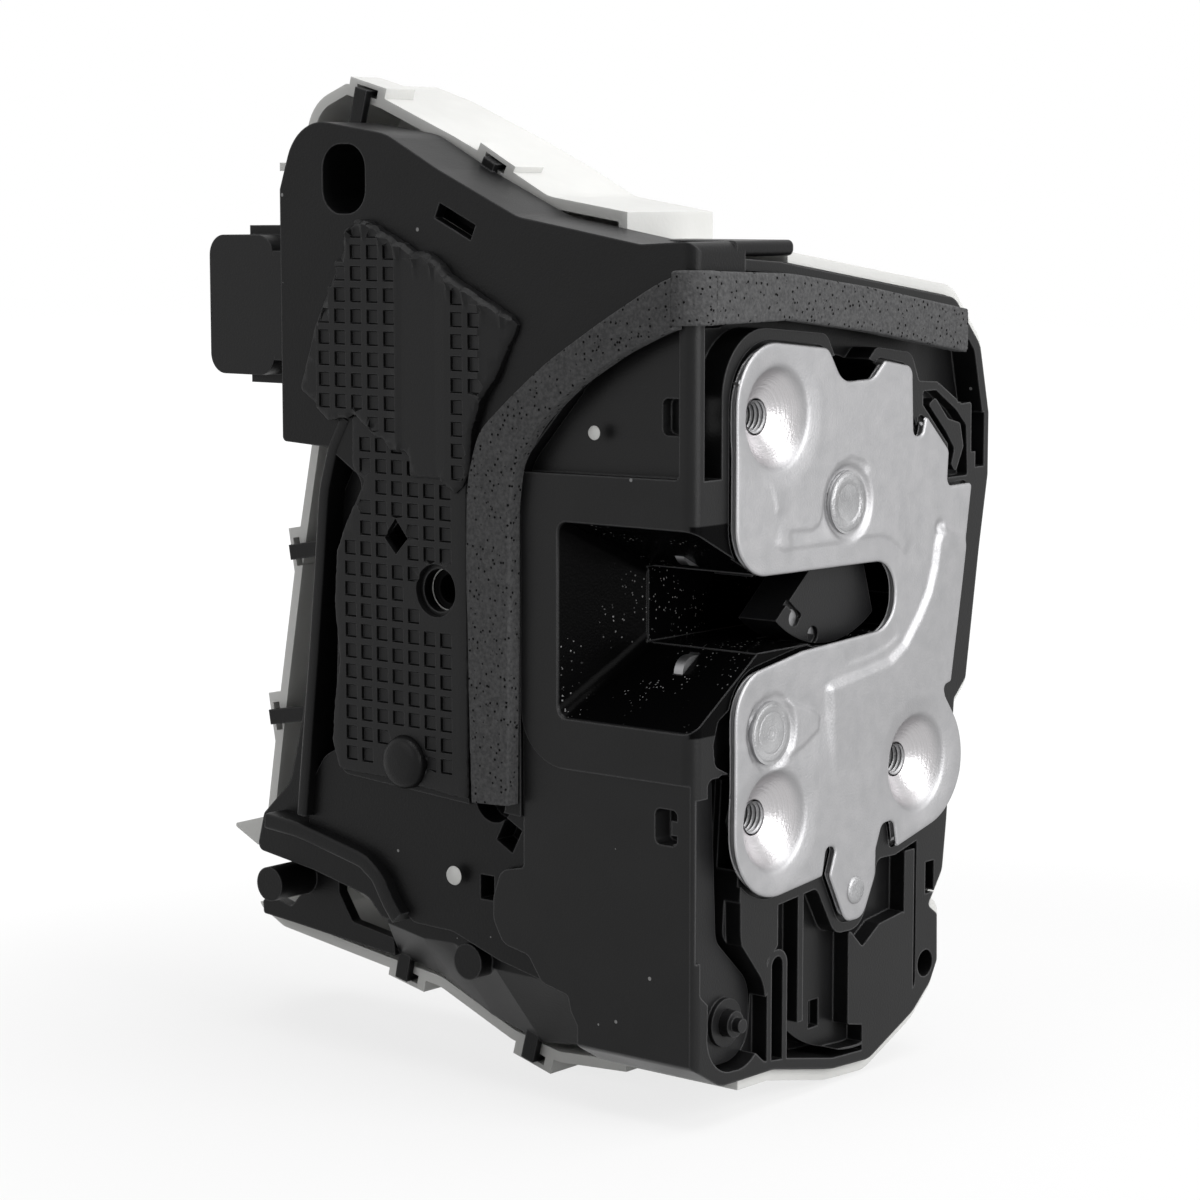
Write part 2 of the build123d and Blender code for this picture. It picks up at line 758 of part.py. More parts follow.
with BuildPart() as latch_housing:
    with BuildSketch(Plane.YZ.offset(-housing_back)):
        add(outline_sketch(housing_outline))
    extrude(amount=housing_back - face_x)
    with BuildSketch(Plane.XZ.offset(-cover_back_y)):
        add(outline_sketch(side_block_outline))
    extrude(amount=cover_back_y - side_y)
    with BuildSketch(Plane.XY.offset(-100)):
        add(corner_waste(-face_x, side_y, corner_r))
    extrude(amount=200, mode=Mode.SUBTRACT)
    with BuildSketch(Plane.XZ.offset(-cover_back_y)):
        add(outline_sketch(cover_outline, seam_gap / 4))
    extrude(amount=cover_back_y - side_y, mode=Mode.SUBTRACT)
    # the broad side's levels: the striker's frame stands proud of what is above and below it
    with BuildSketch(Plane.XZ.offset(-upper_recess_y)):
        add(outline_sketch(frame_outline))
    extrude(amount=10, mode=Mode.SUBTRACT)
    with BuildSketch(Plane.XZ.offset(-lower_recess_y)):
        Rectangle(200, 200)
        with Locations((-10.6, 35.6)):
            RectangleRounded(60, 128, 10, mode=Mode.SUBTRACT)
    extrude(amount=10, mode=Mode.SUBTRACT)
    # seat of the face plate
    with BuildSketch(Plane.YZ.offset(-plate_t)):
        add(outline_sketch(plate_outline, plate_edge_gap))
    extrude(amount=plate_t, mode=Mode.SUBTRACT)
    # rooms of the claw, the pawl and the lever
    with BuildSketch(Plane.YZ.offset(-back_front)):
        with Locations(claw_at):
            Circle(claw_r + claw_room)
        for share in (0, 0.5, 1):
            add(turned(pawl_outline, pawl_at, share * pawl_lift, swing_room))
    extrude(amount=back_front, mode=Mode.SUBTRACT)
    with BuildSketch(Plane.YZ.offset(-lever_front - lever_t - 0.3)):
        for share in (0, 0.5, 1):
            add(turned(lever_outline, lever_at, share * lever_swing, swing_room))
    extrude(amount=lever_front + lever_t, mode=Mode.SUBTRACT)
    # seat of the back plate and room of the springs
    with BuildSketch(Plane.YZ.offset(-back_front - back_plate_t)):
        add(outline_sketch(back_plate_outline, 0.1))
    extrude(amount=back_plate_t, mode=Mode.SUBTRACT)
    spring_room_t = coil_pitch * claw_turns + 2 * spring_wire_r + 0.9
    with BuildSketch(Plane.YZ.offset(-back_front - back_plate_t - spring_room_t)):
        with Locations(claw_at):
            Circle(claw_coil_r + spring_wire_r + 0.3)
            Circle(pivot_r + 1.2, mode=Mode.SUBTRACT)
        with Locations(pawl_at):
            Circle(pawl_coil_r + spring_wire_r + 0.3)
            Circle(pivot_r - 0.2, mode=Mode.SUBTRACT)
    extrude(amount=spring_room_t, mode=Mode.SUBTRACT)
    # rooms of the cones and their barrels
    with BuildSketch(Plane.YZ.offset(-low_floor)):
        with Locations(*cone_sites):
            RegularPolygon(cone_mouth_r + 2.0, 8, major_radius=False)
    extrude(amount=low_floor, mode=Mode.SUBTRACT)
    with BuildSketch(Plane.YZ.offset(-back_front)):
        with Locations(*cone_sites):
            RegularPolygon(barrel_r + 0.3, 8, major_radius=False)
    extrude(amount=back_front, mode=Mode.SUBTRACT)
    # throat of the striker and the flared pocket in the broad side
    with BuildSketch(Plane.YZ.offset(-throat_depth)):
        with Locations(((side_y - 4 + throat_end) / 2, 0)):
            Rectangle(throat_end - side_y + 4, 2 * throat_half)
    extrude(amount=throat_depth, mode=Mode.SUBTRACT)
    with BuildSketch(Plane.XZ.offset(-side_y + 0.5)):
        with Locations((-14.5, -1.7)):
            RectangleRounded(35.6, 36.0, 2)
    with BuildSketch(Plane.XZ.offset(34)):
        with Locations((-11.6, 0)):
            RectangleRounded(29.6, 2 * throat_half + 0.4, 2)
    loft(mode=Mode.SUBTRACT)
    # low face: a round floor, a deeper crescent under it, and what stands on them
    with BuildSketch(Plane.YZ.offset(-disc_floor)):
        add(outline_sketch(low_cut))
        add(low_standing(), mode=Mode.SUBTRACT)
        add(outline_sketch(plate_rim), mode=Mode.SUBTRACT)
    extrude(amount=disc_floor, mode=Mode.SUBTRACT)
    with BuildSketch(Plane.YZ.offset(-crescent_floor)):
        with Locations((-12.0, -78.0)):
            Rectangle(30.0, 24.0)
        with Locations(disc_at):
            Circle(disc_r, mode=Mode.SUBTRACT)
        add(outline_sketch(housing_outline, -2.0), mode=Mode.INTERSECT)
        add(low_standing(), mode=Mode.SUBTRACT)
    extrude(amount=crescent_floor, mode=Mode.SUBTRACT)
    # groove beside the round column at the corner
    with BuildSketch(Plane.YZ.offset(-low_floor)):
        add(box_sketch(-51.0, -47.2, -60.0, -31.0))
        add(box_sketch(-43.2, -42.6, -56.0, -31.0))
    extrude(amount=low_floor, mode=Mode.SUBTRACT)
    # channel round the plate's upper edge, with its ribs and the end pocket
    with BuildSketch(Plane.YZ.offset(-low_floor)):
        with Locations((-5.0, 43.9)):
            Rectangle(88.8, 38.6)
        add(outline_sketch(housing_outline, -2.0), mode=Mode.INTERSECT)
        add(outline_sketch(plate_rim), mode=Mode.SUBTRACT)
        for near, far in upper_ribs:
            with BuildLine(mode=Mode.PRIVATE) as rib_line:
                Line(near, far)
            add(trace(rib_line.line, upper_rib_t), mode=Mode.SUBTRACT)
    extrude(amount=low_floor, mode=Mode.SUBTRACT)
    with BuildSketch(Plane.YZ.offset(-low_floor)):
        add(box_sketch(35.8, 38.9, 21.6, 32.0))
    extrude(amount=low_floor, mode=Mode.SUBTRACT)
    with BuildSketch(Plane.YZ.offset(-hook_floor)):
        add(outline_sketch(hook_recess))
        add(outline_sketch(hook_bar), mode=Mode.SUBTRACT)
    extrude(amount=hook_floor, mode=Mode.SUBTRACT)
    # holes: tab rivet, lever pin, snap windows, flange holes
    with BuildSketch(Plane.YZ.offset(-plate_t - 4)):
        with Locations(tab_rivet_at):
            Circle(tab_shank_r)
    extrude(amount=6, mode=Mode.SUBTRACT)
    with BuildSketch(Plane.YZ.offset(-plate_t - 1.2)):
        with Locations(tab_rivet_at):
            Circle(tab_head_r)
    extrude(amount=2, mode=Mode.SUBTRACT)
    with BuildSketch(Plane.YZ.offset(-14)):
        with Locations(lever_at):
            Circle(lever_pin_r)
    extrude(amount=14, mode=Mode.SUBTRACT)
    with BuildSketch(Plane.YZ.offset(-low_floor)):
        with Locations((20.7, -73.1)):
            Circle(2.6)
        with Locations((21.9, -56.4)):
            Rectangle(3.0, 6.2)
        with Locations((-11.2, -77.2)):
            Rectangle(3.2, 5.2)
    extrude(amount=low_floor, mode=Mode.SUBTRACT)
    with BuildSketch(Plane.XZ.offset(-side_y)):
        with Locations((-7.7, 35.4), (-7.7, -36.2)):
            RectangleRounded(5.0, 6.4, 1.2)
            with Locations((1.9, 0)):
                Rectangle(1.4, 2.6, mode=Mode.SUBTRACT)
    extrude(amount=-5.0, mode=Mode.SUBTRACT)
finish(latch_housing.part, "latch_housing")

with BuildPart() as bumper:
    with BuildSketch(Plane.YZ.offset(-throat_depth)):
        with Locations((throat_end - bumper_t / 2, 0)):
            Rectangle(bumper_t, 2 * throat_half)
    extrude(amount=throat_depth - back_front - back_plate_t)
    fillet(bumper.faces().sort_by(Axis.Y)[0].edges(), 0.8)
finish(bumper.part, "striker_bumper")


# Actuator cover: moulded broad side with the raised panel and the posts of the inner pivots
def post_sketch(sites, r):
    with BuildSketch(mode=Mode.PRIVATE) as shape:
        with Locations(*sites):
            Circle(r)
    return shape.sketch


with BuildPart() as side_cover:
    levels = ((cover_outline, channel_y), (strip_line + strip_inner, strip_y),
              (low_panel_outline, low_panel_y), (panel_outline, side_y))
    for outline, front_y in levels:
        with BuildSketch(Plane.XZ.offset(-cover_back_y)):
            add(outline_sketch(outline))
        extrude(amount=cover_back_y - front_y)
    for outline, front_y in ((cover_outline, channel_y), (panel_outline, side_y)):
        with BuildSketch(Plane.XZ.offset(-cover_back_y)):
            add(outline_sketch(outline, -wall))
        extrude(amount=cover_back_y - front_y - wall, mode=Mode.SUBTRACT)
    # lip from the low panel to the rear cover's rim, and the cable's clip
    with BuildSketch(Plane.XZ.offset(-cover_back_y)):
        with BuildLine():
            Polyline(*scoop_back, close=True)
        make_face()
    with BuildSketch(Plane.XZ.offset(-strip_y - 1)):
        with BuildLine():
            Polyline(*scoop_front, close=True)
        make_face()
    loft()
    with BuildSketch(Plane.XZ.offset(-cover_back_y)):
        add(outline_sketch(cable_clip))
    extrude(amount=2.4)
    # snap hooks
    for x, z, turn, arm in snap_sites:
        with BuildSketch(Plane.XZ.offset(-rim_y + 0.2)):
            with Locations(Location((x, z, 0), (0, 0, 1), turn)):
                with Locations((0.75 + hook_t / 2 - arm / 2, 0)):
                    Rectangle(arm, hook_w)
        extrude(amount=1.6)
        with BuildSketch(Plane.XZ.offset(-rim_y - 4)):
            with Locations(Location((x, z, 0), (0, 0, 1), turn)):
                with Locations((0.75, 0)):
                    Rectangle(hook_t, hook_w)
        extrude(amount=5.0)
    # top flange that wraps over the housing
    with BuildSketch(Plane.XZ.offset(-flange_back_y)):
        with Locations((-14.0, 64.2)):
            RectangleRounded(25.0, 2.8, 1.2)
    extrude(amount=flange_back_y - cover_back_y + wall)
    with BuildSketch(Plane.XY.offset(-100)):
        add(corner_waste(-face_x, side_y, corner_r))
    extrude(amount=200, mode=Mode.SUBTRACT)
    # tube behind the large corner hole, screw posts and pivot posts
    with BuildSketch(Plane.XZ.offset(-cover_front_y)):
        with Locations(corner_hole_at):
            RectangleRounded(14.6, 16.4, 6)
    extrude(amount=cover_back_y - cover_front_y, dir=(0, 1, 0))
    with BuildSketch(Plane.XZ.offset(-cover_front_y)):
        with Locations(corner_hole_at):
            RectangleRounded(11.0, 12.8, 4.6)
    extrude(amount=60, both=True, mode=Mode.SUBTRACT)
    with BuildSketch(Plane.XZ.offset(-cover_front_y)):
        add(post_sketch(screw_sites, screw_post_r))
    extrude(amount=-cover_front_y + rear_base_y - rear_wall, dir=(0, 1, 0))
    with BuildSketch(Plane.XZ.offset(-cover_front_y)):
        add(post_sketch([wheel_at, lock_lever_at, inside_lever_at], post_r))
    extrude(amount=-cover_front_y + post_end_y, dir=(0, 1, 0))
    with BuildSketch(Plane.XZ.offset(-rear_base_y)):
        add(post_sketch(screw_sites, screw_r))
    extrude(amount=screw_len, mode=Mode.SUBTRACT)
    # slanted slot, diamond and round holes, proud boss
    with BuildSketch(Plane.XZ.offset(-side_y)):
        with Locations(Location((-56.0, 68.7, 0), (0, 0, 1), -24.6)):
            Rectangle(9.6, 3.0)
        with Locations((-60.2, 1.5)):
            Circle(4.0)
        with Locations(Location((-70.1, 10.6, 0), (0, 0, 1), 45)):
            RectangleRounded(4.6, 4.6, 0.8)
        with Locations((-48.9, -36.2)):
            Circle(4.5)
        with Locations(Location((-45.2, -42.6, 0), (0, 0, 1), -28)):
            Rectangle(4.4, 5.0)
        with Locations((-50.6, -53.1)):
            Rectangle(3.4, 4.6)
    extrude(amount=-2.0 * wall - 2.0, mode=Mode.SUBTRACT)
    with BuildSketch(Plane.XZ.offset(-side_y)):
        with Locations((-68.0, -31.2)):
            Circle(4.2)
    extrude(amount=2.6)
finish(side_cover.part, "side_cover")

# Damping pad bonded on the panel
pad_outline = [
    (-82.0, 69.0, 2),
    (-90.6, 52.0, 8),
    (-96.0, 37.6, 2),
    (-84.0, 30.0, 6),
    (-77.6, 19.6, 3),
    (-84.6, 6.8, 8),
    (-85.6, -20.0, 16),
    (-84.4, -34.6, 2),
    (-52.4, -37.6, 1),
    (-52.4, 28.0, 4),
    (-42.0, 49.4, 2),
    (-59.6, 59.2, 4),
    (-70.6, 64.4, 4),
]
with BuildPart() as damping_pad:
    with BuildSketch(Plane.XZ.offset(-side_y)):
        add(outline_sketch(pad_outline))
        with Locations((-60.2, 1.5)):
            Circle(4.6, mode=Mode.SUBTRACT)
        with Locations((-68.0, -31.2)):
            Circle(4.3, mode=Mode.SUBTRACT)
        with Locations(Location((-70.1, 10.6, 0), (0, 0, 1), 45)):
            Rectangle(5.2, 5.2, mode=Mode.SUBTRACT)
    extrude(amount=pad_t)
finish(damping_pad.part, "damping_pad")

# Foam seal, from the broad side round the corner to the door face
foam_side = [
    (-51.3, -39.6, 0.5),
    (-51.3, 27.4, 12),
    (-31.8, 44.4, 16),
    (foam_front, 60.8, 1),
    (foam_front, 51.2, 1),
    (-22.4, 42.6, 14),
    (-40.9, 26.0, 10),
    (-40.9, -39.6, 0.5),
]
foam_face = [
    (side_y - foam_t, 60.8, 1),
    (-28.0, 59.8, 40),
    (28.0, 52.2, 0.5),
    (28.0, 44.0, 0.5),
    (-28.0, 51.4, 40),
    (side_y - foam_t, 51.4, 1),
]
with BuildPart() as foam_seal:
    with BuildSketch(Plane.XZ.offset(-side_y)):
        add(outline_sketch(foam_side))
    extrude(amount=foam_t)
    with BuildSketch(Plane.YZ.offset(-face_x)):
        add(outline_sketch(foam_face))
    extrude(amount=face_x + foam_front)
    with BuildSketch(Plane.XY.offset(-100)):
        add(corner_waste(foam_front, side_y - foam_t, foam_bend_r))
    extrude(amount=200, mode=Mode.SUBTRACT)
finish(foam_seal.part, "foam_seal")

# White rear cover: a tray behind the broad side, turning the corner behind the housing
with BuildPart() as rear_cover:
    with BuildSketch(Plane.XZ.offset(-rear_base_y)):
        add(outline_sketch(rear_outline))
    extrude(amount=rear_base_y - rim_y)
    # bumps of the rim round the snap hooks, the fin and the small tab
    for x, z, turn, _ in snap_sites:
        with BuildSketch(Plane.XZ.offset(-rim_y - 8)):
            with Locations(Location((x, z, 0), (0, 0, 1), turn)):
                Rectangle(5.0, snap_w)
        extrude(amount=8)
    with BuildSketch(Plane.XZ.offset(-rim_y - 1.8)):
        add(outline_sketch(fin_outline))
    extrude(amount=1.8)
    with BuildSketch(Plane.XZ.offset(-rim_y - 8)):
        with Locations((-111.4, 78.9)):
            Rectangle(9.0, 1.6)
    extrude(amount=8)
    with BuildSketch(Plane.YZ.offset(-housing_back - leg_base_t)):
        add(outline_sketch(housing_outline, rear_wall + housing_seat_gap))
        with Locations((rim_y, 0)):
            Rectangle(100, 250, align=(Align.MAX, Align.CENTER), mode=Mode.SUBTRACT)
    extrude(amount=housing_back + leg_base_t - leg_front_x)
    with BuildSketch(Plane.XZ.offset(-rear_base_y + rear_wall)):
        add(outline_sketch(rear_outline, -rear_wall))
        with Locations((-housing_back - leg_base_t, 0)):
            Rectangle(100, 250, align=(Align.MIN, Align.CENTER), mode=Mode.SUBTRACT)
    extrude(amount=rear_base_y - rear_wall - rim_y, mode=Mode.SUBTRACT)
    with BuildSketch(Plane.YZ.offset(-housing_back)):
        add(outline_sketch(housing_outline, housing_seat_gap))
    extrude(amount=housing_back, mode=Mode.SUBTRACT)
    with BuildSketch(Plane.XZ.offset(-rear_base_y)):
        add(post_sketch(screw_sites, screw_r + 0.3))
    extrude(amount=rear_wall, mode=Mode.SUBTRACT)
    for x, z, turn, _ in snap_sites:
        with BuildSketch(Plane.XZ.offset(-rim_y - 8)):
            with Locations(Location((x, z, 0), (0, 0, 1), turn)):
                with Locations((0.75, 0)):
                    Rectangle(snap_window[1], snap_window[0])
        extrude(amount=8, mode=Mode.SUBTRACT)
    # round way of the cable through the rim
    with BuildSketch(Plane.XZ.offset(-rim_y - 12)):
        with Locations(cable_at):
            Circle(cable_r)
        with Locations((cable_at[0], cable_top)):
            Rectangle(2.4 * cable_r, 30, align=(Align.CENTER, Align.MAX), mode=Mode.INTERSECT)
    extrude(amount=12, mode=Mode.SUBTRACT)
    # gap for the cover's top flange
    with BuildSketch(Plane.XZ.offset(-flange_back_y - 0.4)):
        with Locations((-14.0, 70.0)):
            Rectangle(26.4, 17.0)
    extrude(amount=40, mode=Mode.SUBTRACT)
    # cradle ribs and end bearing of the lock motor
    for x in (motor_x - 0.3 * motor_len, motor_x + 0.3 * motor_len):
        with BuildSketch(Plane.XZ.offset(-rear_base_y + rear_wall)):
            with Locations((x, worm_z)):
                Rectangle(1.6, 1.7 * motor_r)
        extrude(amount=rear_base_y - rear_wall - motor_y - motor_flat)
    with BuildSketch(Plane.XZ.offset(-rear_base_y + rear_wall)):
        with Locations((bearing_x, worm_z)):
            Rectangle(2.4, 8)
    extrude(amount=rear_base_y - rear_wall - motor_y + 4)
    with BuildSketch(Plane.YZ.offset(bearing_x - 2)):
        with Locations((motor_y, worm_z)):
            Circle(shaft_r + pivot_gap)
    extrude(amount=4, mode=Mode.SUBTRACT)
finish(rear_cover.part, "rear_cover")

# Lock motor, its worm and the worm wheel
with BuildPart() as lock_motor:
    with BuildSketch(Plane.YZ.offset(motor_x - motor_len / 2)):
        with Locations((motor_y, worm_z)):
            Circle(motor_r)
            Rectangle(2 * motor_flat, 3 * motor_r, mode=Mode.INTERSECT)
    extrude(amount=motor_len)
    with BuildSketch(Plane.YZ.offset(motor_x + motor_len / 2)):
        with Locations((motor_y, worm_z)):
            Circle(3.4)
    extrude(amount=2)
    with BuildSketch(Plane.YZ.offset(motor_x)):
        with Locations((motor_y, worm_z)):
            Circle(shaft_r + pivot_gap)
    extrude(amount=motor_len, mode=Mode.SUBTRACT)
finish(lock_motor.part, "lock_motor")

worm_start = motor_x + motor_len / 2 + 3.0
with BuildPart() as worm_shaft:
    with BuildSketch(Plane.YZ.offset(motor_x + 0.5)):
        with Locations((motor_y, worm_z)):
            Circle(shaft_r)
    extrude(amount=bearing_x + 1.0 - motor_x - 0.5)
    with BuildSketch(Plane.YZ.offset(worm_start)):
        with Locations((motor_y, worm_z)):
            Circle(worm_r)
    extrude(amount=bearing_x - 2.0 - worm_start)
finish(worm_shaft.part, "worm_shaft")

tooth_h = 1.9
with BuildPart() as worm_wheel:
    with BuildSketch(Plane.XZ.offset(wheel_front - wheel_t)):
        with Locations(wheel_at):
            Circle(wheel_r - tooth_h)
            with PolarLocations(wheel_r - tooth_h / 2, wheel_teeth):
                Trapezoid(2.0, tooth_h + 0.4, 72, rotation=-90)
            Circle(post_r + pivot_gap, mode=Mode.SUBTRACT)
            with PolarLocations(10.4, 5):
                Circle(2.9, mode=Mode.SUBTRACT)
    extrude(amount=wheel_t)
finish(worm_wheel.part, "worm_wheel")

# Lock lever and inside release lever on their posts
lock_outline = [
    (lock_lever_at[0] - 6, lock_lever_at[1] - 4, 4),
    (lock_lever_at[0] - 2, lock_lever_at[1] - 24, 2),
    (lock_lever_at[0] + 3, lock_lever_at[1] - 24, 2),
    (lock_lever_at[0] + 6.4, lock_lever_at[1] - 4, 5),
    (lock_lever_at[0] + 8, lock_lever_at[1] + 28, 3),
    (lock_lever_at[0] + 1, lock_lever_at[1] + 28, 3),
    (lock_lever_at[0] - 6, lock_lever_at[1] + 4, 4),
]
with BuildPart() as lock_lever:
    with BuildSketch(Plane.XZ.offset(lock_front - lock_t)):
        add(outline_sketch(lock_outline, 0, lock_lever_at, post_r + pivot_gap))
    extrude(amount=lock_t)
finish(lock_lever.part, "lock_lever")

inside_outline = [
    (inside_lever_at[0] - 6, inside_lever_at[1] + 5, 4),
    (inside_lever_at[0] - 19, inside_lever_at[1] - 6, 3),
    (inside_lever_at[0] - 19, inside_lever_at[1] - 14, 3),
    (inside_lever_at[0] + 4, inside_lever_at[1] - 7, 4),
    (inside_lever_at[0] + 8, inside_lever_at[1] + 20, 3),
    (inside_lever_at[0] + 1, inside_lever_at[1] + 21, 3),
]
with BuildPart() as inside_lever:
    with BuildSketch(Plane.XZ.offset(inside_front - inside_t)):
        add(outline_sketch(inside_outline, 0, inside_lever_at, post_r + pivot_gap))
        with Locations((inside_lever_at[0] - 15, inside_lever_at[1] - 7)):
            Circle(2.0, mode=Mode.SUBTRACT)
    extrude(amount=inside_t)
finish(inside_lever.part, "inside_release_lever")

# Connector shell with its blades
with BuildPart() as connector_shell:
    with BuildSketch(Plane.XZ.offset(-socket_back_y)):
        with Locations(socket_at):
            RectangleRounded(socket_x, socket_z, 4)
    extrude(amount=socket_back_y - socket_front_y)
    with BuildSketch(Plane.XZ.offset(-socket_back_y)):
        with Locations(socket_at):
            RectangleRounded(socket_x - 2 * socket_wall, socket_z - 2 * socket_wall, 3)
    extrude(amount=socket_back_y - socket_front_y - 2 * socket_wall, mode=Mode.SUBTRACT)
    with BuildSketch(Plane.XZ.offset(-cover_back_y)):
        with Locations(((socket_at[0] + socket_x / 2 - 100.4) / 2, socket_at[1])):
            Rectangle(-100.4 - socket_at[0] - socket_x / 2, socket_z - 6)
    extrude(amount=cover_back_y - socket_front_y)
    with BuildSketch(Plane.XZ.offset(-socket_front_y - 5)):
        with Locations((socket_at[0] + 3, socket_at[1])):
            Rectangle(11, socket_z + 3.6)
        with Locations(socket_at):
            RectangleRounded(socket_x, socket_z, 4, mode=Mode.SUBTRACT)
    extrude(amount=-socket_front_y - 5 + socket_back_y, dir=(0, 1, 0))
    with BuildSketch(Plane.XZ.offset(-socket_back_y)):
        with Locations(socket_at):
            with GridLocations(5.0, 4.6, 2, 4):
                Rectangle(blade_w, blade_t)
    extrude(amount=socket_back_y - socket_front_y - 1, mode=Mode.SUBTRACT)
finish(connector_shell.part, "connector_shell")

with BuildPart() as connector_blades:
    with BuildSketch(Plane.XZ.offset(-socket_front_y - 1)):
        with Locations(socket_at):
            with GridLocations(5.0, 4.6, 2, 4):
                Rectangle(blade_w, blade_t)
    extrude(amount=16, dir=(0, 1, 0))
finish(connector_blades.part, "connector_blades")

# Screws that hold the two covers together, put in from the back
with BuildPart() as cover_screws:
    with BuildSketch(Plane.XZ.offset(-rear_base_y)):
        add(post_sketch(screw_sites, screw_r))
    extrude(amount=screw_len - 1)
    with BuildSketch(Plane.XZ.offset(-rear_base_y)):
        add(post_sketch(screw_sites, screw_head_r))
    extrude(amount=-screw_head_t)
finish(cover_screws.part, "cover_screws")
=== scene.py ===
import math

import bmesh
import bpy
import numpy as np
from mathutils import Euler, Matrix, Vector, geometry


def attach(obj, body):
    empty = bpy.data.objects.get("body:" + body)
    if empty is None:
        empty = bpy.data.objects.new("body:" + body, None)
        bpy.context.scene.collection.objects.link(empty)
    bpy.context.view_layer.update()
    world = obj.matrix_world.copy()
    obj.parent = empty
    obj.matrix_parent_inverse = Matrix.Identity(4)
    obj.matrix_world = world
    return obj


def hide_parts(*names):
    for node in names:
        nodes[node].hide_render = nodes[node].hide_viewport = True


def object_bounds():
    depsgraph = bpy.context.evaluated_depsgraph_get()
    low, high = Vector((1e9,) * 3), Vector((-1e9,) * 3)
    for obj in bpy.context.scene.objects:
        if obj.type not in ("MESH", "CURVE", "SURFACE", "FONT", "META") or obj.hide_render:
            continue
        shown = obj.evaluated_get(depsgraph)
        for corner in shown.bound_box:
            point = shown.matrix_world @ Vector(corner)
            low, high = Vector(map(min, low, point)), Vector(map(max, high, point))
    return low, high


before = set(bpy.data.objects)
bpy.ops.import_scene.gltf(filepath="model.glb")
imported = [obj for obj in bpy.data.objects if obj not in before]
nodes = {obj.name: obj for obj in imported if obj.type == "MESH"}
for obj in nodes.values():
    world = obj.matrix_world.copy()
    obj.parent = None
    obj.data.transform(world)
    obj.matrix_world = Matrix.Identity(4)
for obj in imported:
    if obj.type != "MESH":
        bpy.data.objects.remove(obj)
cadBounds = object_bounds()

mm = 0.001
# the flat of the broad side lies at this y and that of the door face under the foam at this x, in mm
broadY, doorX = -52.5, -1.5

# places on the door face that several looks share, as (y, z) in mm
layout = {
    "cones": [(-29.8, 34.5), (-29.8, -37.5), (15.2, -33.0)],
    "clawPin": (-8.2, 18.0),
    "pawlPin": (-31.3, -21.4),
    "tabRivet": (-5.1, -54.2),
}

camera = {"place": (0.3319, -0.4820, 0.07306), "turn": (82.8, 0.0, 39.5), "lens": 95.7, "sensor": 36.0}
light = {
    "world": 0.24,
    "top": {"place": (0.10, 0.05, 0.95), "size": (0.9, 0.9), "power": 8.0},
    "face": {"place": (0.95, 0.10, 0.35), "size": (0.8, 0.9), "power": 11.0},
    "side": {"place": (-0.35, -0.95, 0.45), "size": (0.7, 0.7), "power": 1.8},
    "floorWhite": 0.72,
    "floorFade": (0.16, 0.34),
}


# camera, lights and floor
def makeCamera():
    lens = bpy.data.cameras.new("photoCamera")
    lens.lens = camera["lens"]
    lens.sensor_width = camera["sensor"]
    lens.clip_start = 0.01
    seat = bpy.data.objects.new("photoCamera", lens)
    seat.location = camera["place"]
    seat.rotation_euler = Euler([math.radians(a) for a in camera["turn"]])
    bpy.context.scene.collection.objects.link(seat)
    bpy.context.scene.camera = seat


def makeSoftbox(name, setting, target=(-0.03, -0.02, 0.0)):
    lamp = bpy.data.lights.new(name, "AREA")
    lamp.shape = "RECTANGLE"
    lamp.size, lamp.size_y = setting["size"]
    lamp.energy = setting["power"]
    box = bpy.data.objects.new(name, lamp)
    box.location = setting["place"]
    aim = Vector(target) - Vector(setting["place"])
    box.rotation_euler = aim.to_track_quat("-Z", "Y").to_euler()
    bpy.context.scene.collection.objects.link(box)
    return box


def feed(tree, socket, value):
    # sets the socket to a value, or links it where the value is another node's output
    if isinstance(value, bpy.types.NodeSocket):
        tree.links.new(value, socket)
    else:
        socket.default_value = value


def newNode(tree, kind, sockets=None, **values):
    node = tree.nodes.new(kind)
    for key, value in values.items():
        setattr(node, key, value)
    for key, value in (sockets or {}).items():
        feed(tree, node.inputs[key], value)
    return node


def maths(tree, operation, *values):
    return newNode(tree, "ShaderNodeMath", dict(enumerate(values)), operation=operation).outputs[0]


def vectorMaths(tree, operation, *values):
    node = newNode(tree, "ShaderNodeVectorMath", dict(enumerate(values)), operation=operation)
    return node.outputs["Value" if operation in ("LENGTH", "DOT_PRODUCT") else "Vector"]


def seenRays(tree):
    # 1 for what the camera sees straight on, in gloss or through glass, so that all of it shows the white backdrop
    path = newNode(tree, "ShaderNodeLightPath").outputs
    mirrored = maths(tree, "MAXIMUM", path["Is Glossy Ray"], path["Is Transmission Ray"])
    return maths(tree, "MAXIMUM", path["Is Camera Ray"], mirrored)


def makeWorld():
    world = bpy.data.worlds.new("studio")
    world.use_nodes = True
    bpy.context.scene.world = world
    tree = world.node_tree
    tree.nodes.clear()
    seen = newNode(tree, "ShaderNodeBackground", {"Strength": 1.0, "Color": (1, 1, 1, 1)})
    fill = newNode(tree, "ShaderNodeBackground", {"Strength": light["world"], "Color": (1, 1, 1, 1)})
    mix = newNode(tree, "ShaderNodeMixShader", {"Fac": seenRays(tree), 1: fill.outputs[0], 2: seen.outputs[0]})
    newNode(tree, "ShaderNodeOutputWorld", {"Surface": mix.outputs[0]})


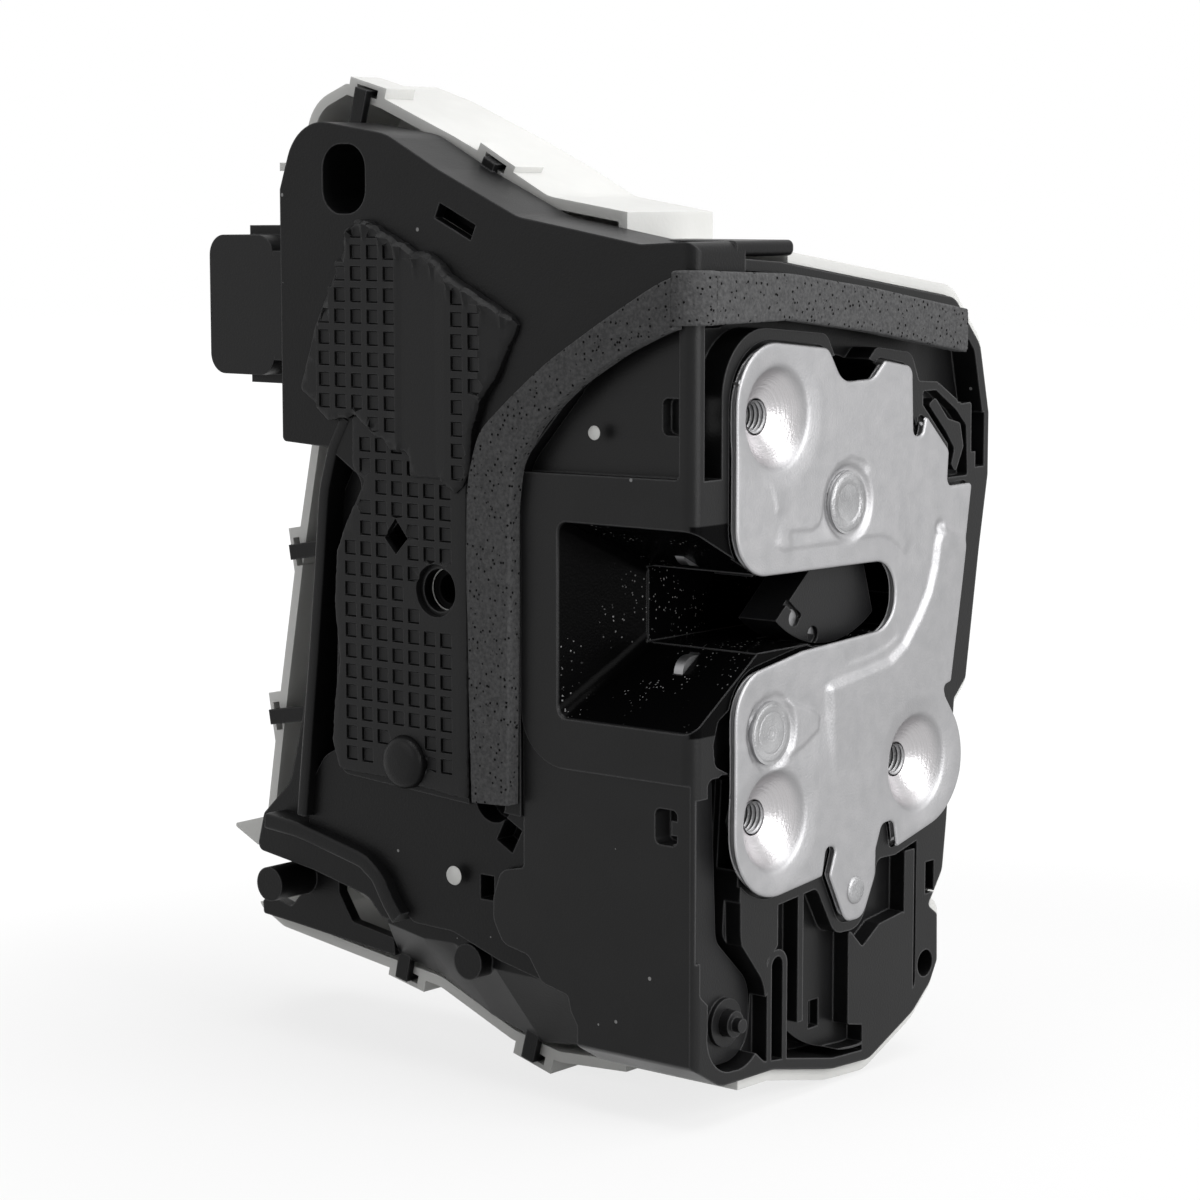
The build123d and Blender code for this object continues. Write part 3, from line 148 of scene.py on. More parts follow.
def makeFloor():
    low, size = cadBounds[0][2], 3.0
    mesh = bpy.data.meshes.new("floor")
    corners = [(-size, -size, low), (size, -size, low), (size, size, low), (-size, size, low)]
    mesh.from_pydata(corners, [], [(0, 1, 2, 3)])
    floor = bpy.data.objects.new("floor", mesh)
    bpy.context.scene.collection.objects.link(floor)
    material = bpy.data.materials.new("paleFloor")
    material.use_nodes = True
    tree = material.node_tree
    tree.nodes.clear()
    matt = newNode(tree, "ShaderNodeBsdfDiffuse", {"Color": (0.62, 0.62, 0.62, 1)})
    white = newNode(tree, "ShaderNodeEmission", {"Color": (1, 1, 1, 1), "Strength": 1.08})
    # the shadow shows near the object, and further out the floor turns white like the background
    away = vectorMaths(tree, "LENGTH", newNode(tree, "ShaderNodeTexCoord").outputs["Object"])
    near, far = light["floorFade"]
    fade = newNode(tree, "ShaderNodeMapRange", {
        "Value": away, "From Min": near, "From Max": far, "To Min": light["floorWhite"], "To Max": 1.0,
    }, interpolation_type="SMOOTHSTEP")
    share = maths(tree, "MULTIPLY", seenRays(tree), fade.outputs["Result"])
    mix = newNode(tree, "ShaderNodeMixShader", {"Fac": share, 1: matt.outputs[0], 2: white.outputs[0]})
    newNode(tree, "ShaderNodeOutputMaterial", {"Surface": mix.outputs[0]})
    mesh.materials.append(material)


bpy.context.scene.view_settings.view_transform = "Standard"
makeCamera()
makeWorld()
makeFloor()
for boxName in ("top", "face", "side"):
    makeSoftbox(boxName + "Softbox", light[boxName])
print("studio ready")


# shader node groups, each built once, with named sockets
def startGroup(name, **inputs):
    # inputs without a value are vectors, and the others are numbers
    group = bpy.data.node_groups.new(name, "ShaderNodeTree")
    for label, value in inputs.items():
        kind = "NodeSocketVector" if value is None else "NodeSocketFloat"
        socket = group.interface.new_socket(label, in_out="INPUT", socket_type=kind)
        if value is not None:
            socket.default_value = value
    return group, newNode(group, "NodeGroupInput").outputs


def endGroup(group, **results):
    for label in results:
        group.interface.new_socket(label, in_out="OUTPUT", socket_type="NodeSocketFloat")
    newNode(group, "NodeGroupOutput", results)
    return group


def mouldedGrain():
    # fine spark texture as a height, and slow clouds as a tone from 0 to 1
    group, given = startGroup("mouldedGrain", Vector=None, Grain=2600.0, Clouds=60.0)
    fine = newNode(group, "ShaderNodeTexNoise", {"Vector": given["Vector"], "Scale": given["Grain"], "Detail": 2.0})
    slow = newNode(group, "ShaderNodeTexNoise", {"Vector": given["Vector"], "Scale": given["Clouds"],
                                                 "Detail": 4.0, "Roughness": 0.6})
    return endGroup(group, Height=fine.outputs["Fac"], Tone=slow.outputs["Fac"])


def dustAndGlintSpecks():
    # small round specks in a few of the cells of a Voronoi pattern, as a mask: pale dust on the faces, and painted
    # glints in the housing's pocket
    group, given = startGroup("dustAndGlintSpecks", Vector=None, Cells=260.0, Size=0.10, Share=0.12)
    cells = newNode(group, "ShaderNodeTexVoronoi", {"Vector": given["Vector"], "Scale": given["Cells"]})
    near = maths(group, "LESS_THAN", cells.outputs["Distance"], given["Size"])
    pick = newNode(group, "ShaderNodeSeparateColor", {"Color": cells.outputs["Color"]})
    few = maths(group, "LESS_THAN", pick.outputs["Red"], given["Share"])
    return endGroup(group, Mask=maths(group, "MULTIPLY", near, few))


def roundPatch():
    # 1 inside a circle about an axis along X, falling softly to 0 outside it
    group, given = startGroup("roundPatch", Vector=None, CentreY=0.0, CentreZ=0.0, Inner=0.004, Outer=0.009)
    split = newNode(group, "ShaderNodeSeparateXYZ", {0: given["Vector"]}).outputs
    flat = newNode(group, "ShaderNodeCombineXYZ", {"Y": maths(group, "SUBTRACT", split["Y"], given["CentreY"]),
                                                   "Z": maths(group, "SUBTRACT", split["Z"], given["CentreZ"])})
    radius = vectorMaths(group, "LENGTH", flat.outputs[0])
    fade = newNode(group, "ShaderNodeMapRange", {
        "Value": radius, "From Min": given["Inner"], "From Max": given["Outer"], "To Min": 1.0, "To Max": 0.0,
    }, interpolation_type="SMOOTHSTEP")
    return endGroup(group, Mask=fade.outputs["Result"], Radius=radius)


def foamPores():
    # open pores: a height that dips at each cell, and a mask that is 1 in the pores
    group, given = startGroup("foamPores", Vector=None, Cells=900.0)
    place, cells = given["Vector"], given["Cells"]
    small = newNode(group, "ShaderNodeTexVoronoi", {"Vector": place, "Scale": cells})
    big = newNode(group, "ShaderNodeTexVoronoi", {"Vector": place, "Scale": maths(group, "MULTIPLY", cells, 0.5)})
    rise = newNode(group, "ShaderNodeMapRange", {
        "Value": big.outputs["Distance"], "From Min": 0.13, "From Max": 0.24,
    }, interpolation_type="SMOOTHSTEP").outputs["Result"]
    cloud = newNode(group, "ShaderNodeTexNoise", {"Vector": place, "Scale": 1500.0, "Detail": 4.0})
    return endGroup(group, Height=maths(group, "MULTIPLY_ADD", small.outputs["Distance"], 0.35, rise),
                    Pore=maths(group, "SUBTRACT", 1.0, rise), Tone=cloud.outputs["Fac"])


def boxPatch():
    # 1 inside a box between two corners, 0 outside it
    group, given = startGroup("boxPatch", Vector=None, Low=None, High=None)
    under = vectorMaths(group, "SUBTRACT", given["Vector"], given["Low"])
    over = vectorMaths(group, "SUBTRACT", given["High"], given["Vector"])
    depth = newNode(group, "ShaderNodeSeparateXYZ", {0: vectorMaths(group, "MINIMUM", under, over)}).outputs
    least = maths(group, "MINIMUM", maths(group, "MINIMUM", depth["X"], depth["Y"]), depth["Z"])
    edge = newNode(group, "ShaderNodeMapRange", {"Value": least, "From Max": 0.0003})
    return endGroup(group, Mask=edge.outputs["Result"])


def turnedRings():
    # fine rings about an axis along X: noise of the radius, as a height
    group, given = startGroup("turnedRings", Vector=None, CentreY=0.0, CentreZ=0.0, Rings=3000.0)
    spot = newNode(group, "ShaderNodeGroup", {key: given[key] for key in ("Vector", "CentreY", "CentreZ")},
                   node_tree=bpy.data.node_groups["roundPatch"])
    noise = newNode(group, "ShaderNodeTexNoise", {"W": spot.outputs["Radius"], "Scale": given["Rings"],
                                                  "Detail": 3.0}, noise_dimensions="1D")
    return endGroup(group, Height=noise.outputs["Fac"])


groups = {"grain": mouldedGrain(), "specks": dustAndGlintSpecks(), "patch": roundPatch(), "pores": foamPores(),
          "box": boxPatch(), "rings": turnedRings()}


def startMaterial(name, metallic=0.0, specular=0.5):
    material = bpy.data.materials.new(name)
    material.use_nodes = True
    tree = material.node_tree
    shader = tree.nodes["Principled BSDF"]
    shader.inputs["Metallic"].default_value = metallic
    shader.inputs["Specular IOR Level"].default_value = specular
    place = newNode(tree, "ShaderNodeTexCoord")
    return material, tree, shader, place.outputs["Object"]


def useGroup(tree, name, vector, **values):
    return newNode(tree, "ShaderNodeGroup", {"Vector": vector, **values}, node_tree=groups[name]).outputs


def blendIn(tree, base, mask, over):
    # colour base with over painted where mask is 1
    base = (*base, 1) if isinstance(base, tuple) else base
    return newNode(tree, "ShaderNodeMix", {"Factor": mask, 6: base, 7: (*over, 1)}, data_type="RGBA").outputs[2]


def between(tree, mask, base, value):
    # base where mask is 0 and value where it is 1
    return newNode(tree, "ShaderNodeMix", {"Factor": mask, 2: base, 3: value}, data_type="FLOAT").outputs[0]


def ramp(tree, source, low, high, start=0.3, end=0.7):
    # a value or a colour between low and high as source goes from start to end
    node = newNode(tree, "ShaderNodeMapRange", {"Value": source, "From Min": start, "From Max": end})
    if isinstance(low, tuple):
        return blendIn(tree, low, node.outputs["Result"], high)
    node.inputs["To Min"].default_value = low
    node.inputs["To Max"].default_value = high
    return node.outputs["Result"]


def paint(tree, shader, colour, rough):
    feed(tree, shader.inputs["Base Color"], colour)
    feed(tree, shader.inputs["Roughness"], rough)


def addBump(tree, shader, height, distance, under=None):
    bump = newNode(tree, "ShaderNodeBump", {"Height": height, "Distance": distance, "Strength": 1.0})
    if under is not None:
        tree.links.new(under, bump.inputs["Normal"])
    tree.links.new(bump.outputs["Normal"], shader.inputs["Normal"])
    return bump.outputs["Normal"]


def softEdges(tree, radius):
    # normals that turn over the edges, so that they catch the light as moulded ones do
    return newNode(tree, "ShaderNodeBevel", {"Radius": radius}, samples=4).outputs["Normal"]


def edgeMask(tree, normal):
    # 0 on flat faces and 1 where the softened normal leaves the true one: 1 - their dot product, stretched
    true = newNode(tree, "ShaderNodeNewGeometry").outputs["Normal"]
    dot = vectorMaths(tree, "DOT_PRODUCT", normal, true)
    return newNode(tree, "ShaderNodeMapRange", {"Value": dot, "From Min": 0.995, "From Max": 0.80}).outputs["Result"]


def mouldedPlastic(name, dark, pale, rough, grainDepth, dust=None, specular=0.25, edge=0.0004, pocket=None,
                   shade=False, rim=0.0):
    material, tree, shader, place = startMaterial(name, specular=specular)
    look = useGroup(tree, "grain", place)
    colour = ramp(tree, look["Tone"], dark, pale)
    roughness = ramp(tree, look["Tone"], *rough)
    soft = softEdges(tree, edge)
    if dust:
        specks = useGroup(tree, "specks", place, Share=dust)["Mask"]
        colour = blendIn(tree, colour, specks, (0.22, 0.22, 0.22))
    if pocket:
        # painted shade: the deep pocket is much darker than the faces and glossier, with painted glints as bright
        # specks
        pocketShade = useGroup(tree, "box", place, Low=pocket[0], High=pocket[1])["Mask"]
        colour = blendIn(tree, colour, pocketShade, (0.0016, 0.0016, 0.0017))
        roughness = between(tree, pocketShade, roughness, 0.20)
        feed(tree, shader.inputs["Specular IOR Level"], between(tree, pocketShade, specular, 0.018))
        glintCells = useGroup(tree, "specks", place, Cells=1500.0, Size=0.24, Share=0.30)["Mask"]
        where = newNode(tree, "ShaderNodeTexNoise", {"Vector": place, "Scale": 95.0}).outputs["Fac"]
        pocketGlints = maths(tree, "MULTIPLY", ramp(tree, where, 0.0, 1.0, 0.52, 0.66), glintCells)
        colour = blendIn(tree, colour, maths(tree, "MULTIPLY", pocketGlints, pocketShade), (0.26, 0.26, 0.26))
    if shade:
        mark = newNode(tree, "ShaderNodeAttribute", attribute_name="shade").outputs["Fac"]
        colour = blendIn(tree, colour, mark, (0.003, 0.003, 0.003))
        feed(tree, shader.inputs["Specular IOR Level"], between(tree, mark, specular, 0.02))
    # painted highlight: the base colour turns paler along edges and creases, by the amount rim
    if rim:
        colour = blendIn(tree, colour, edgeMask(tree, soft), (rim, rim, rim * 1.02))
    paint(tree, shader, colour, roughness)
    addBump(tree, shader, look["Height"], grainDepth, under=soft)
    return material


def plainMetal(name, dark, pale, rough, grain=1800.0, depth=0.00002):
    material, tree, shader, place = startMaterial(name, metallic=1.0)
    look = useGroup(tree, "grain", place, Grain=grain, Clouds=140.0)
    paint(tree, shader, ramp(tree, look["Tone"], dark, pale), ramp(tree, look["Tone"], *rough))
    addBump(tree, shader, look["Height"], depth)
    return material


def zincPlate():
    material, tree, shader, place = startMaterial("zincPlate", metallic=1.0)
    look = useGroup(tree, "grain", place, Grain=2400.0, Clouds=260.0)
    colour = ramp(tree, look["Tone"], (0.335, 0.335, 0.342), (0.370, 0.367, 0.374))
    rough = ramp(tree, look["Tone"], 0.47, 0.53)
    normal = addBump(tree, shader, look["Height"], 0.00005)
    for y, z in layout["cones"]:
        centre = {"CentreY": y * mm, "CentreZ": z * mm}
        patch = useGroup(tree, "patch", place, **centre, Inner=0.0076, Outer=0.0092)["Mask"]
        colour = blendIn(tree, colour, patch, (0.50, 0.488, 0.496))
        rough = between(tree, patch, rough, 0.30)
        rings = useGroup(tree, "rings", place, **centre, Rings=2600.0)["Height"]
        normal = addBump(tree, shader, maths(tree, "MULTIPLY", rings, patch), 0.00005, under=normal)
    paint(tree, shader, colour, rough)
    return material


def foamRubber():
    material, tree, shader, place = startMaterial("foamRubber", specular=0.10)
    pores = useGroup(tree, "pores", place, Cells=1700.0)
    colour = ramp(tree, pores["Tone"], (0.056, 0.056, 0.057), (0.086, 0.086, 0.087), 0.35, 0.65)
    # painted shade: the pores are near black, as the shade inside them
    paint(tree, shader, blendIn(tree, colour, pores["Pore"], (0.002, 0.002, 0.002)), 0.92)
    addBump(tree, shader, pores["Height"], 0.00032)
    return material


def whiteNylon():
    material, tree, shader, place = startMaterial("whiteNylon")
    look = useGroup(tree, "grain", place, Grain=1200.0, Clouds=30.0)
    paint(tree, shader, ramp(tree, look["Tone"], (0.53, 0.53, 0.515), (0.61, 0.61, 0.595)), 0.45)
    shader.inputs["Subsurface Weight"].default_value = 0.2
    shader.inputs["Subsurface Radius"].default_value = (1.0, 1.0, 1.0)
    shader.inputs["Subsurface Scale"].default_value = 0.003
    addBump(tree, shader, look["Height"], 0.00003)
    return material


pocketBox = ((-0.0325, -0.0522, -0.0202), (0.0054, 0.020, 0.0170))
finish = {
    "zinc": zincPlate(),
    "rivet": plainMetal("rivetSteel", (0.27, 0.27, 0.275), (0.38, 0.38, 0.386), (0.40, 0.54), grain=3200.0,
                        depth=0.00008),
    "inner": plainMetal("innerSteel", (0.22, 0.22, 0.225), (0.30, 0.30, 0.305), (0.34, 0.5)),
    "housing": mouldedPlastic("housingPlastic", (0.0040, 0.0040, 0.0042), (0.0065, 0.0065, 0.0068), (0.30, 0.40),
                              0.00003, dust=0.10, specular=0.20, pocket=pocketBox, edge=0.0005, rim=0.085),
    "cover": mouldedPlastic("coverPlastic", (0.0030, 0.0030, 0.0032), (0.0046, 0.0046, 0.0049), (0.34, 0.42),
                            0.00005, dust=0.05, specular=0.16, edge=0.0005, rim=0.075),
    "connector": mouldedPlastic("connectorPlastic", (0.007, 0.007, 0.0073), (0.010, 0.010, 0.0104), (0.42, 0.5),
                                0.00004, specular=0.18, rim=0.06),
    "claw": mouldedPlastic("clawPlastic", (0.006, 0.006, 0.0063), (0.009, 0.009, 0.0095), (0.30, 0.40), 0.00004,
                           specular=0.20, rim=0.05),
    "pad": mouldedPlastic("padRubber", (0.0060, 0.0060, 0.0063), (0.0085, 0.0085, 0.0089), (0.40, 0.50), 0.00004,
                          specular=0.18, edge=0.00022, shade=True, rim=0.05),
    # painted shade: near-black, barely glossy plastic for the cups that stand for the shade inside the openings
    "dark": mouldedPlastic("shadeCupPlastic", (0.002, 0.002, 0.0021), (0.004, 0.004, 0.0042), (0.42, 0.5), 0.00003,
                           specular=0.06, edge=0.0003, rim=0.008),
    "foam": foamRubber(),
    "white": whiteNylon(),
    "gear": mouldedPlastic("gearPlastic", (0.60, 0.60, 0.56), (0.70, 0.70, 0.66), (0.36, 0.44), 0.00003),
    "blade": plainMetal("bladeMetal", (0.60, 0.52, 0.34), (0.70, 0.62, 0.42), (0.26, 0.36)),
    "rubber": mouldedPlastic("bumperRubber", (0.008, 0.008, 0.008), (0.012, 0.012, 0.012), (0.6, 0.75), 0.00006),
}
finishNodes = {
    "zinc": "face_plate", "rivet": "claw_pin pawl_pin tab_rivet lock_motor cover_screws",
    "inner": "back_plate claw_core pawl_core claw_spring pawl_spring worm_shaft",
    "claw": "claw_jacket pawl_jacket outside_release_lever lever_pin", "housing": "latch_housing",
    "rubber": "striker_bumper", "cover": "side_cover", "connector": "connector_shell", "pad": "damping_pad",
    "foam": "foam_seal", "white": "rear_cover", "gear": "worm_wheel lock_lever inside_release_lever",
    "blade": "connector_blades",
}
for look, names in finishNodes.items():
    for nodeName in names.split():
        mesh = nodes[nodeName].data
        mesh.materials.clear()
        mesh.materials.append(finish[look])
print("finishes on", sum(len(names.split()) for names in finishNodes.values()), "nodes")


# helpers for new surfaces
def gridFaces(rows, cols, wrapCols=False):
    # quads of a grid of rows x cols points, row by row
    i = np.arange(rows - 1)[:, None]
    j = np.arange(cols if wrapCols else cols - 1)[None, :]
    k = (j + 1) % cols
    quads = np.stack([i * cols + j, i * cols + k, (i + 1) * cols + k, (i + 1) * cols + j], -1)
    return quads.reshape(-1, 4)


def sweptFaces(rows, cols):
    # the walls between the sections of a swept piece, and a cap on each end
    last = (rows - 1) * cols
    return [*gridFaces(rows, cols)[:, ::-1].tolist(), list(range(cols)), list(range(last, last + cols))[::-1]]


def meshPiece(name, points, faces, look, smooth=True, sharpAngle=None, marks=None):
    mesh = bpy.data.meshes.new(name)
    mesh.from_pydata(np.asarray(points, float).tolist(), [], [list(map(int, f)) for f in faces])
    if marks is not None:
        layer = mesh.attributes.new("shade", "FLOAT", "FACE")
        layer.data.foreach_set("value", np.asarray(marks, np.float32))
    mesh.polygons.foreach_set("use_smooth", [smooth] * len(mesh.polygons))
    if sharpAngle is not None:
        mesh.set_sharp_from_angle(angle=math.radians(sharpAngle))
    mesh.materials.append(finish[look])
    piece = bpy.data.objects.new(name, mesh)
    bpy.context.scene.collection.objects.link(piece)
    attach(piece, "latch_case")
    return piece


def smoothStep(value, low=0.0, high=1.0):
    t = np.clip((value - low) / (high - low), 0, 1)
    return t * t * (3 - 2 * t)


def roundedLoop(corners, step=0.6):
    # closed line through corners given as (u, v, radius): each corner becomes the arc that touches both its sides
    here = np.array([c[:2] for c in corners], float)
    radius = np.array([c[2] for c in corners], float)
    back = np.roll(here, 1, 0) - here
    on = np.roll(here, -1, 0) - here
    backSize, onSize = np.linalg.norm(back, axis=1), np.linalg.norm(on, axis=1)
    back, on = back / backSize[:, None], on / onSize[:, None]
    half = np.arccos(np.clip((back * on).sum(1), -1, 1)) / 2
    reach = np.minimum(radius / np.tan(half), 0.49 * np.minimum(backSize, onSize))
    line = []
    for k in range(len(here)):
        start, end = here[k] + back[k] * reach[k], here[k] + on[k] * reach[k]
        t = np.linspace(0, 1, max(3, int(reach[k] * 2 / step) + 2))[:, None]
        line.append((1 - t) ** 2 * start + 2 * t * (1 - t) * here[k] + t ** 2 * end)
    return dense(np.vstack(line), step)


def dense(loop, step):
    # the same closed line with no side longer than step
    out = []
    for a, b in zip(loop, np.roll(loop, -1, 0)):
        size = np.linalg.norm(b - a)
        if size > 1e-4:
            count = max(1, int(np.ceil(size / step)))
            out.append(a + (b - a) * (np.arange(count) / count)[:, None])
    return np.vstack(out)


def inside(points, loop):
    # even count of crossings of a ray to the right means outside
    odd = np.zeros(len(points), bool)
    for a, b in zip(loop, np.roll(loop, -1, 0)):
        across = (a[1] > points[:, 1]) != (b[1] > points[:, 1])
        if abs(b[1] - a[1]) > 1e-12:
            odd ^= across & (points[:, 0] < (b[0] - a[0]) * (points[:, 1] - a[1]) / (b[1] - a[1]) + a[0])
    return odd


def nearLine(points, line, closed=False):
    # distance to a line, which side of it (positive to its left), and how far along it the nearest place is
    best = np.full(len(points), 1e9)
    side, along, run = np.zeros(len(points)), np.zeros(len(points)), 0.0
    for a, b in zip(line, np.roll(line, -1, 0) if closed else line[1:]):
        d = b - a
        size = np.linalg.norm(d)
        if size < 1e-9:
            continue
        t = np.clip(((points - a) @ d) / size ** 2, 0, 1)
        gap = np.linalg.norm(points - a - t[:, None] * d, axis=1)
        nearer = gap < best
        cross = d[0] * (points[:, 1] - a[1]) - d[1] * (points[:, 0] - a[0])
        best, side, along = (np.where(nearer, gap, best), np.where(nearer, np.sign(cross), side),
                             np.where(nearer, run + t * size, along))
        run += size
    return best, side, along, run


def edgeRings(loop, insets, share):
    # points beside a closed line at each inset, kept where they are inside it and share of the inset away from it
    sides = np.roll(loop, -1, 0) - np.roll(loop, 1, 0)
    normal = np.stack([-sides[:, 1], sides[:, 0]], -1) / np.linalg.norm(sides, axis=1)[:, None]
    rings = []
    for inset in insets:
        for way in (1, -1):
            ring = loop + way * normal * inset
            ring = ring[inside(ring, loop)]
            rings.append(ring[nearLine(ring, loop, True)[0] > share * inset])
    return np.vstack(rings)


def facing(points, faces, axis, way):
    # the triangles turned so that their normals' share along the axis has the sign of way
    normal = np.cross(points[faces[:, 1]] - points[faces[:, 0]], points[faces[:, 2]] - points[faces[:, 0]])
    return np.where((way * normal[:, axis] > 0)[:, None], faces, faces[:, ::-1])


def cutSheet(outline, holes, inner):
    # Delaunay triangles over all the points, kept where their middle is inside the outline and in no hole
    rings = [outline, *holes]
    starts = np.cumsum([0] + [len(r) for r in rings])
    places = np.vstack([*rings, inner])
    sides = [(int(s + i), int(s + (i + 1) % len(r))) for s, r in zip(starts, rings) for i in range(len(r))]
    found = geometry.delaunay_2d_cdt([Vector(p) for p in places], sides, [], 0, 1e-6)
    places = np.array([tuple(v) for v in found[0]])
    faces = np.array([f for f in found[2] if len(f) == 3])
    middle = places[faces].mean(1)
    keep = inside(middle, outline)
    for hole in holes:
        keep &= ~inside(middle, hole)
    return places, faces[keep]


def withSkirt(points, faces, base):
    # walls from the open edges of a sheet down to base, a copy of the points lower down
    sides = np.concatenate([faces[:, [0, 1]], faces[:, [1, 2]], faces[:, [2, 0]]])
    _, first, count = np.unique(np.sort(sides, 1), axis=0, return_index=True, return_counts=True)
    size = len(points)
    walls = [(b, a, a + size, b + size) for a, b in sides[first[count == 1]]]
    return np.vstack([points, base]), [*faces.tolist(), *walls]


def disc(centre, r, count):
    turn = np.linspace(0, 2 * np.pi, count, endpoint=False)
    return np.stack([centre[0] + r * np.cos(turn), centre[1] + r * np.sin(turn)], -1)


def lathed(name, centre, profile, look, steps=72, wobble=0.0, seed=1):
    # a profile of (radius, x) turned about an axis along X through (y, z), with a little unevenness
    profile = np.array(profile, float)
    turn = np.linspace(0, 2 * np.pi, steps, endpoint=False)
    uneven = np.random.default_rng(seed).normal(0, wobble, (len(profile), steps)) * (profile[:, :1] > 0.3)
    x = profile[:, 1:] + uneven
    r = profile[:, :1]
    points = np.stack([x, centre[0] + r * np.cos(turn), centre[1] + r * np.sin(turn)], -1).reshape(-1, 3)
    return meshPiece(name, points * mm, gridFaces(len(profile), steps, True)[:, ::-1], look)


# thread inside each cone
thread = {"radius": 3.0, "depth": 0.42, "pitch": 1.0, "start": -5.2, "end": -9.9, "steps": 72}


def makeThread(name, y, z):
    # radius = wall - depth * triangle(distance / pitch - angle / turn): a helical ridge on the wall
    rows = 140
    x = np.linspace(thread["start"], thread["end"], rows)[:, None]
    turn = np.linspace(0, 2 * np.pi, thread["steps"], endpoint=False)[None, :]
    phase = (x / thread["pitch"] - turn / (2 * np.pi)) % 1.0
    ridge = 1 - np.abs(2 * phase - 1)
    wall = thread["radius"] - 0.02
    fade = np.clip(np.minimum(thread["start"] - x, x - thread["end"]) / 0.5, 0, 1)
    r = wall - thread["depth"] * np.clip(ridge * 1.5 - 0.25, 0, 1) * fade
    points = np.stack([x + 0 * turn, y + r * np.cos(turn), z + r * np.sin(turn)], -1).reshape(-1, 3) * mm
    faces = gridFaces(rows, thread["steps"], wrapCols=True)
    return meshPiece(name, points, faces, "rivet")


for index, (coneY, coneZ) in enumerate(layout["cones"]):
    makeThread(f"coneThread{index + 1}", coneY, coneZ)
print("threads cut")

# face plate: pressed sheet with bowls, dishes, steps and a bead; heights and places in mm
plate = {
    "spacing": 0.48, "edgeRound": 0.5, "thickness": 1.9,
    "coneRadius": (3.2, 3.9, 4.6, 5.6, 6.8, 7.8, 8.6, 9.1, 9.6, 11.4, 12.6),
    "coneDepth": (5.3, 5.05, 4.7, 4.1, 3.25, 2.3, 1.3, 0.55, 0.34, 0.10, 0.0),
    "dishRadius": (6.3, 7.6), "dishDepth": 0.75, "rivetHole": 4.0, "tabHole": 1.6,
    "steps": {
        # rise on the left of the line, half width of the slope, reach over which the rise dies away
        "bead": (0.75, 0.8, 11.0, [(22.2, 12.3), (20.4, 8.2), (19.5, 3.8), (17.6, -0.9), (14.1, -5.5), (13.1, -6.4),
                                   (9.7, -10.0), (5.0, -12.4), (-2.6, -13.5), (-10.1, -14.4), (-15.6, -15.2)]),
        "slotLow": (-0.16, 0.25, 3.0, [(-9.4, -11.6), (-2.7, -11.1), (3.4, -10.0), (6.5, -8.8), (8.8, -7.7)]),
        "pawlDrop": (-0.3, 0.28, 3.5, [(-36.7, -23.5), (-36.3, -16.8), (-34.6, -14.9), (-31.1, -14.2),
                                       (-27.5, -15.7), (-18.9, -18.9), (-16.7, -20.1), (-17.0, -22.6),
                                       (-21.7, -25.0), (-30.2, -27.7), (-36.2, -29.4)]),
        "slotHigh": (0.22, 0.26, 3.5, [(-31.3, 12.2), (-28.4, 11.1), (-20.1, 11.1), (-11.5, 11.1), (-3.4, 11.3),
                                      (2.3, 11.2), (5.6, 10.2), (8.2, 8.5), (10.2, 6.5)]),
        "clawDrop": (-0.3, 0.26, 3.5, [(-1.1, 23.8), (-3.7, 25.4), (-7.4, 26.3), (-11.8, 25.2), (-14.8, 22.6),
                                      (-16.0, 20.2), (-16.5, 16.3), (-17.4, 14.8), (-19.5, 14.0), (-27.3, 14.2)]),
        "upperLeft": (0.2, 0.26, 2.5, [(-35.0, 23.1), (-33.3, 23.2), (-31.5, 21.6), (-30.6, 18.8), (-30.6, 16.7)]),
    },
    "beadEnd": (21.6, 11.2, 1.9, 0.45),
}


def faceLoops(nodeName, level):
    # closed edges of a node's flat face at x = level, as (y, z) in mm, longest first
    work = bmesh.new()
    work.from_mesh(nodes[nodeName].data)
    bmesh.ops.remove_doubles(work, verts=work.verts, dist=1e-6)
    flat = {f for f in work.faces if all(abs(v.co.x - level * mm) < 2e-6 for v in f.verts)}
    after = {}
    for face in flat:
        for loop in face.loops:
            if sum(f in flat for f in loop.edge.link_faces) == 1:
                after[loop.vert] = loop.link_loop_next.vert
    loops = []
    while after:
        start = next(iter(after))
        line, here = [], start
        while here in after:
            line.append((here.co.y / mm, here.co.z / mm))
            here = after.pop(here)
        loops.append(np.array(line))
    work.free()
    return sorted(loops, key=len, reverse=True)


def plateHeight(points, outline):
    gap = nearLine(points, outline, True)[0]
    height = np.zeros(len(points))
    for rise, half, reach, line in plate["steps"].values():
        # step = rise * smooth side * fade with distance * fade at the line's ends
        d, side, along, length = nearLine(points, np.array(line, float))
        across = smoothStep(side * d, -half, half)
        ends = smoothStep(np.minimum(along, length - along), 0, 2.2)
        height += rise * across * np.exp(-(d / reach) ** 2) * ends
    y, z, r, depth = plate["beadEnd"]
    out = np.hypot(points[:, 0] - y, points[:, 1] - z)
    height -= depth * smoothStep(out, r, 0.3 * r)
    table = np.linspace(0, 14, 281)
    depths = np.interp(table, plate["coneRadius"], plate["coneDepth"])
    depths = np.convolve(np.pad(depths, 4, mode="edge"), np.ones(9) / 9, "valid")
    for y, z in layout["cones"]:
        out = np.hypot(points[:, 0] - y, points[:, 1] - z)
        height = np.where(out < 13, height * smoothStep(out, 9, 13) - np.interp(out, table, depths), height)
    low, high = plate["dishRadius"]
    for y, z in (layout["clawPin"], layout["pawlPin"]):
        out = np.hypot(points[:, 0] - y, points[:, 1] - z)
        height -= plate["dishDepth"] * (1 - smoothStep(out, low, high))
    bend = plate["edgeRound"]
    inner = np.clip(bend - gap, 0, bend)
    return height - (bend - np.sqrt(np.maximum(bend ** 2 - inner ** 2, 0)))


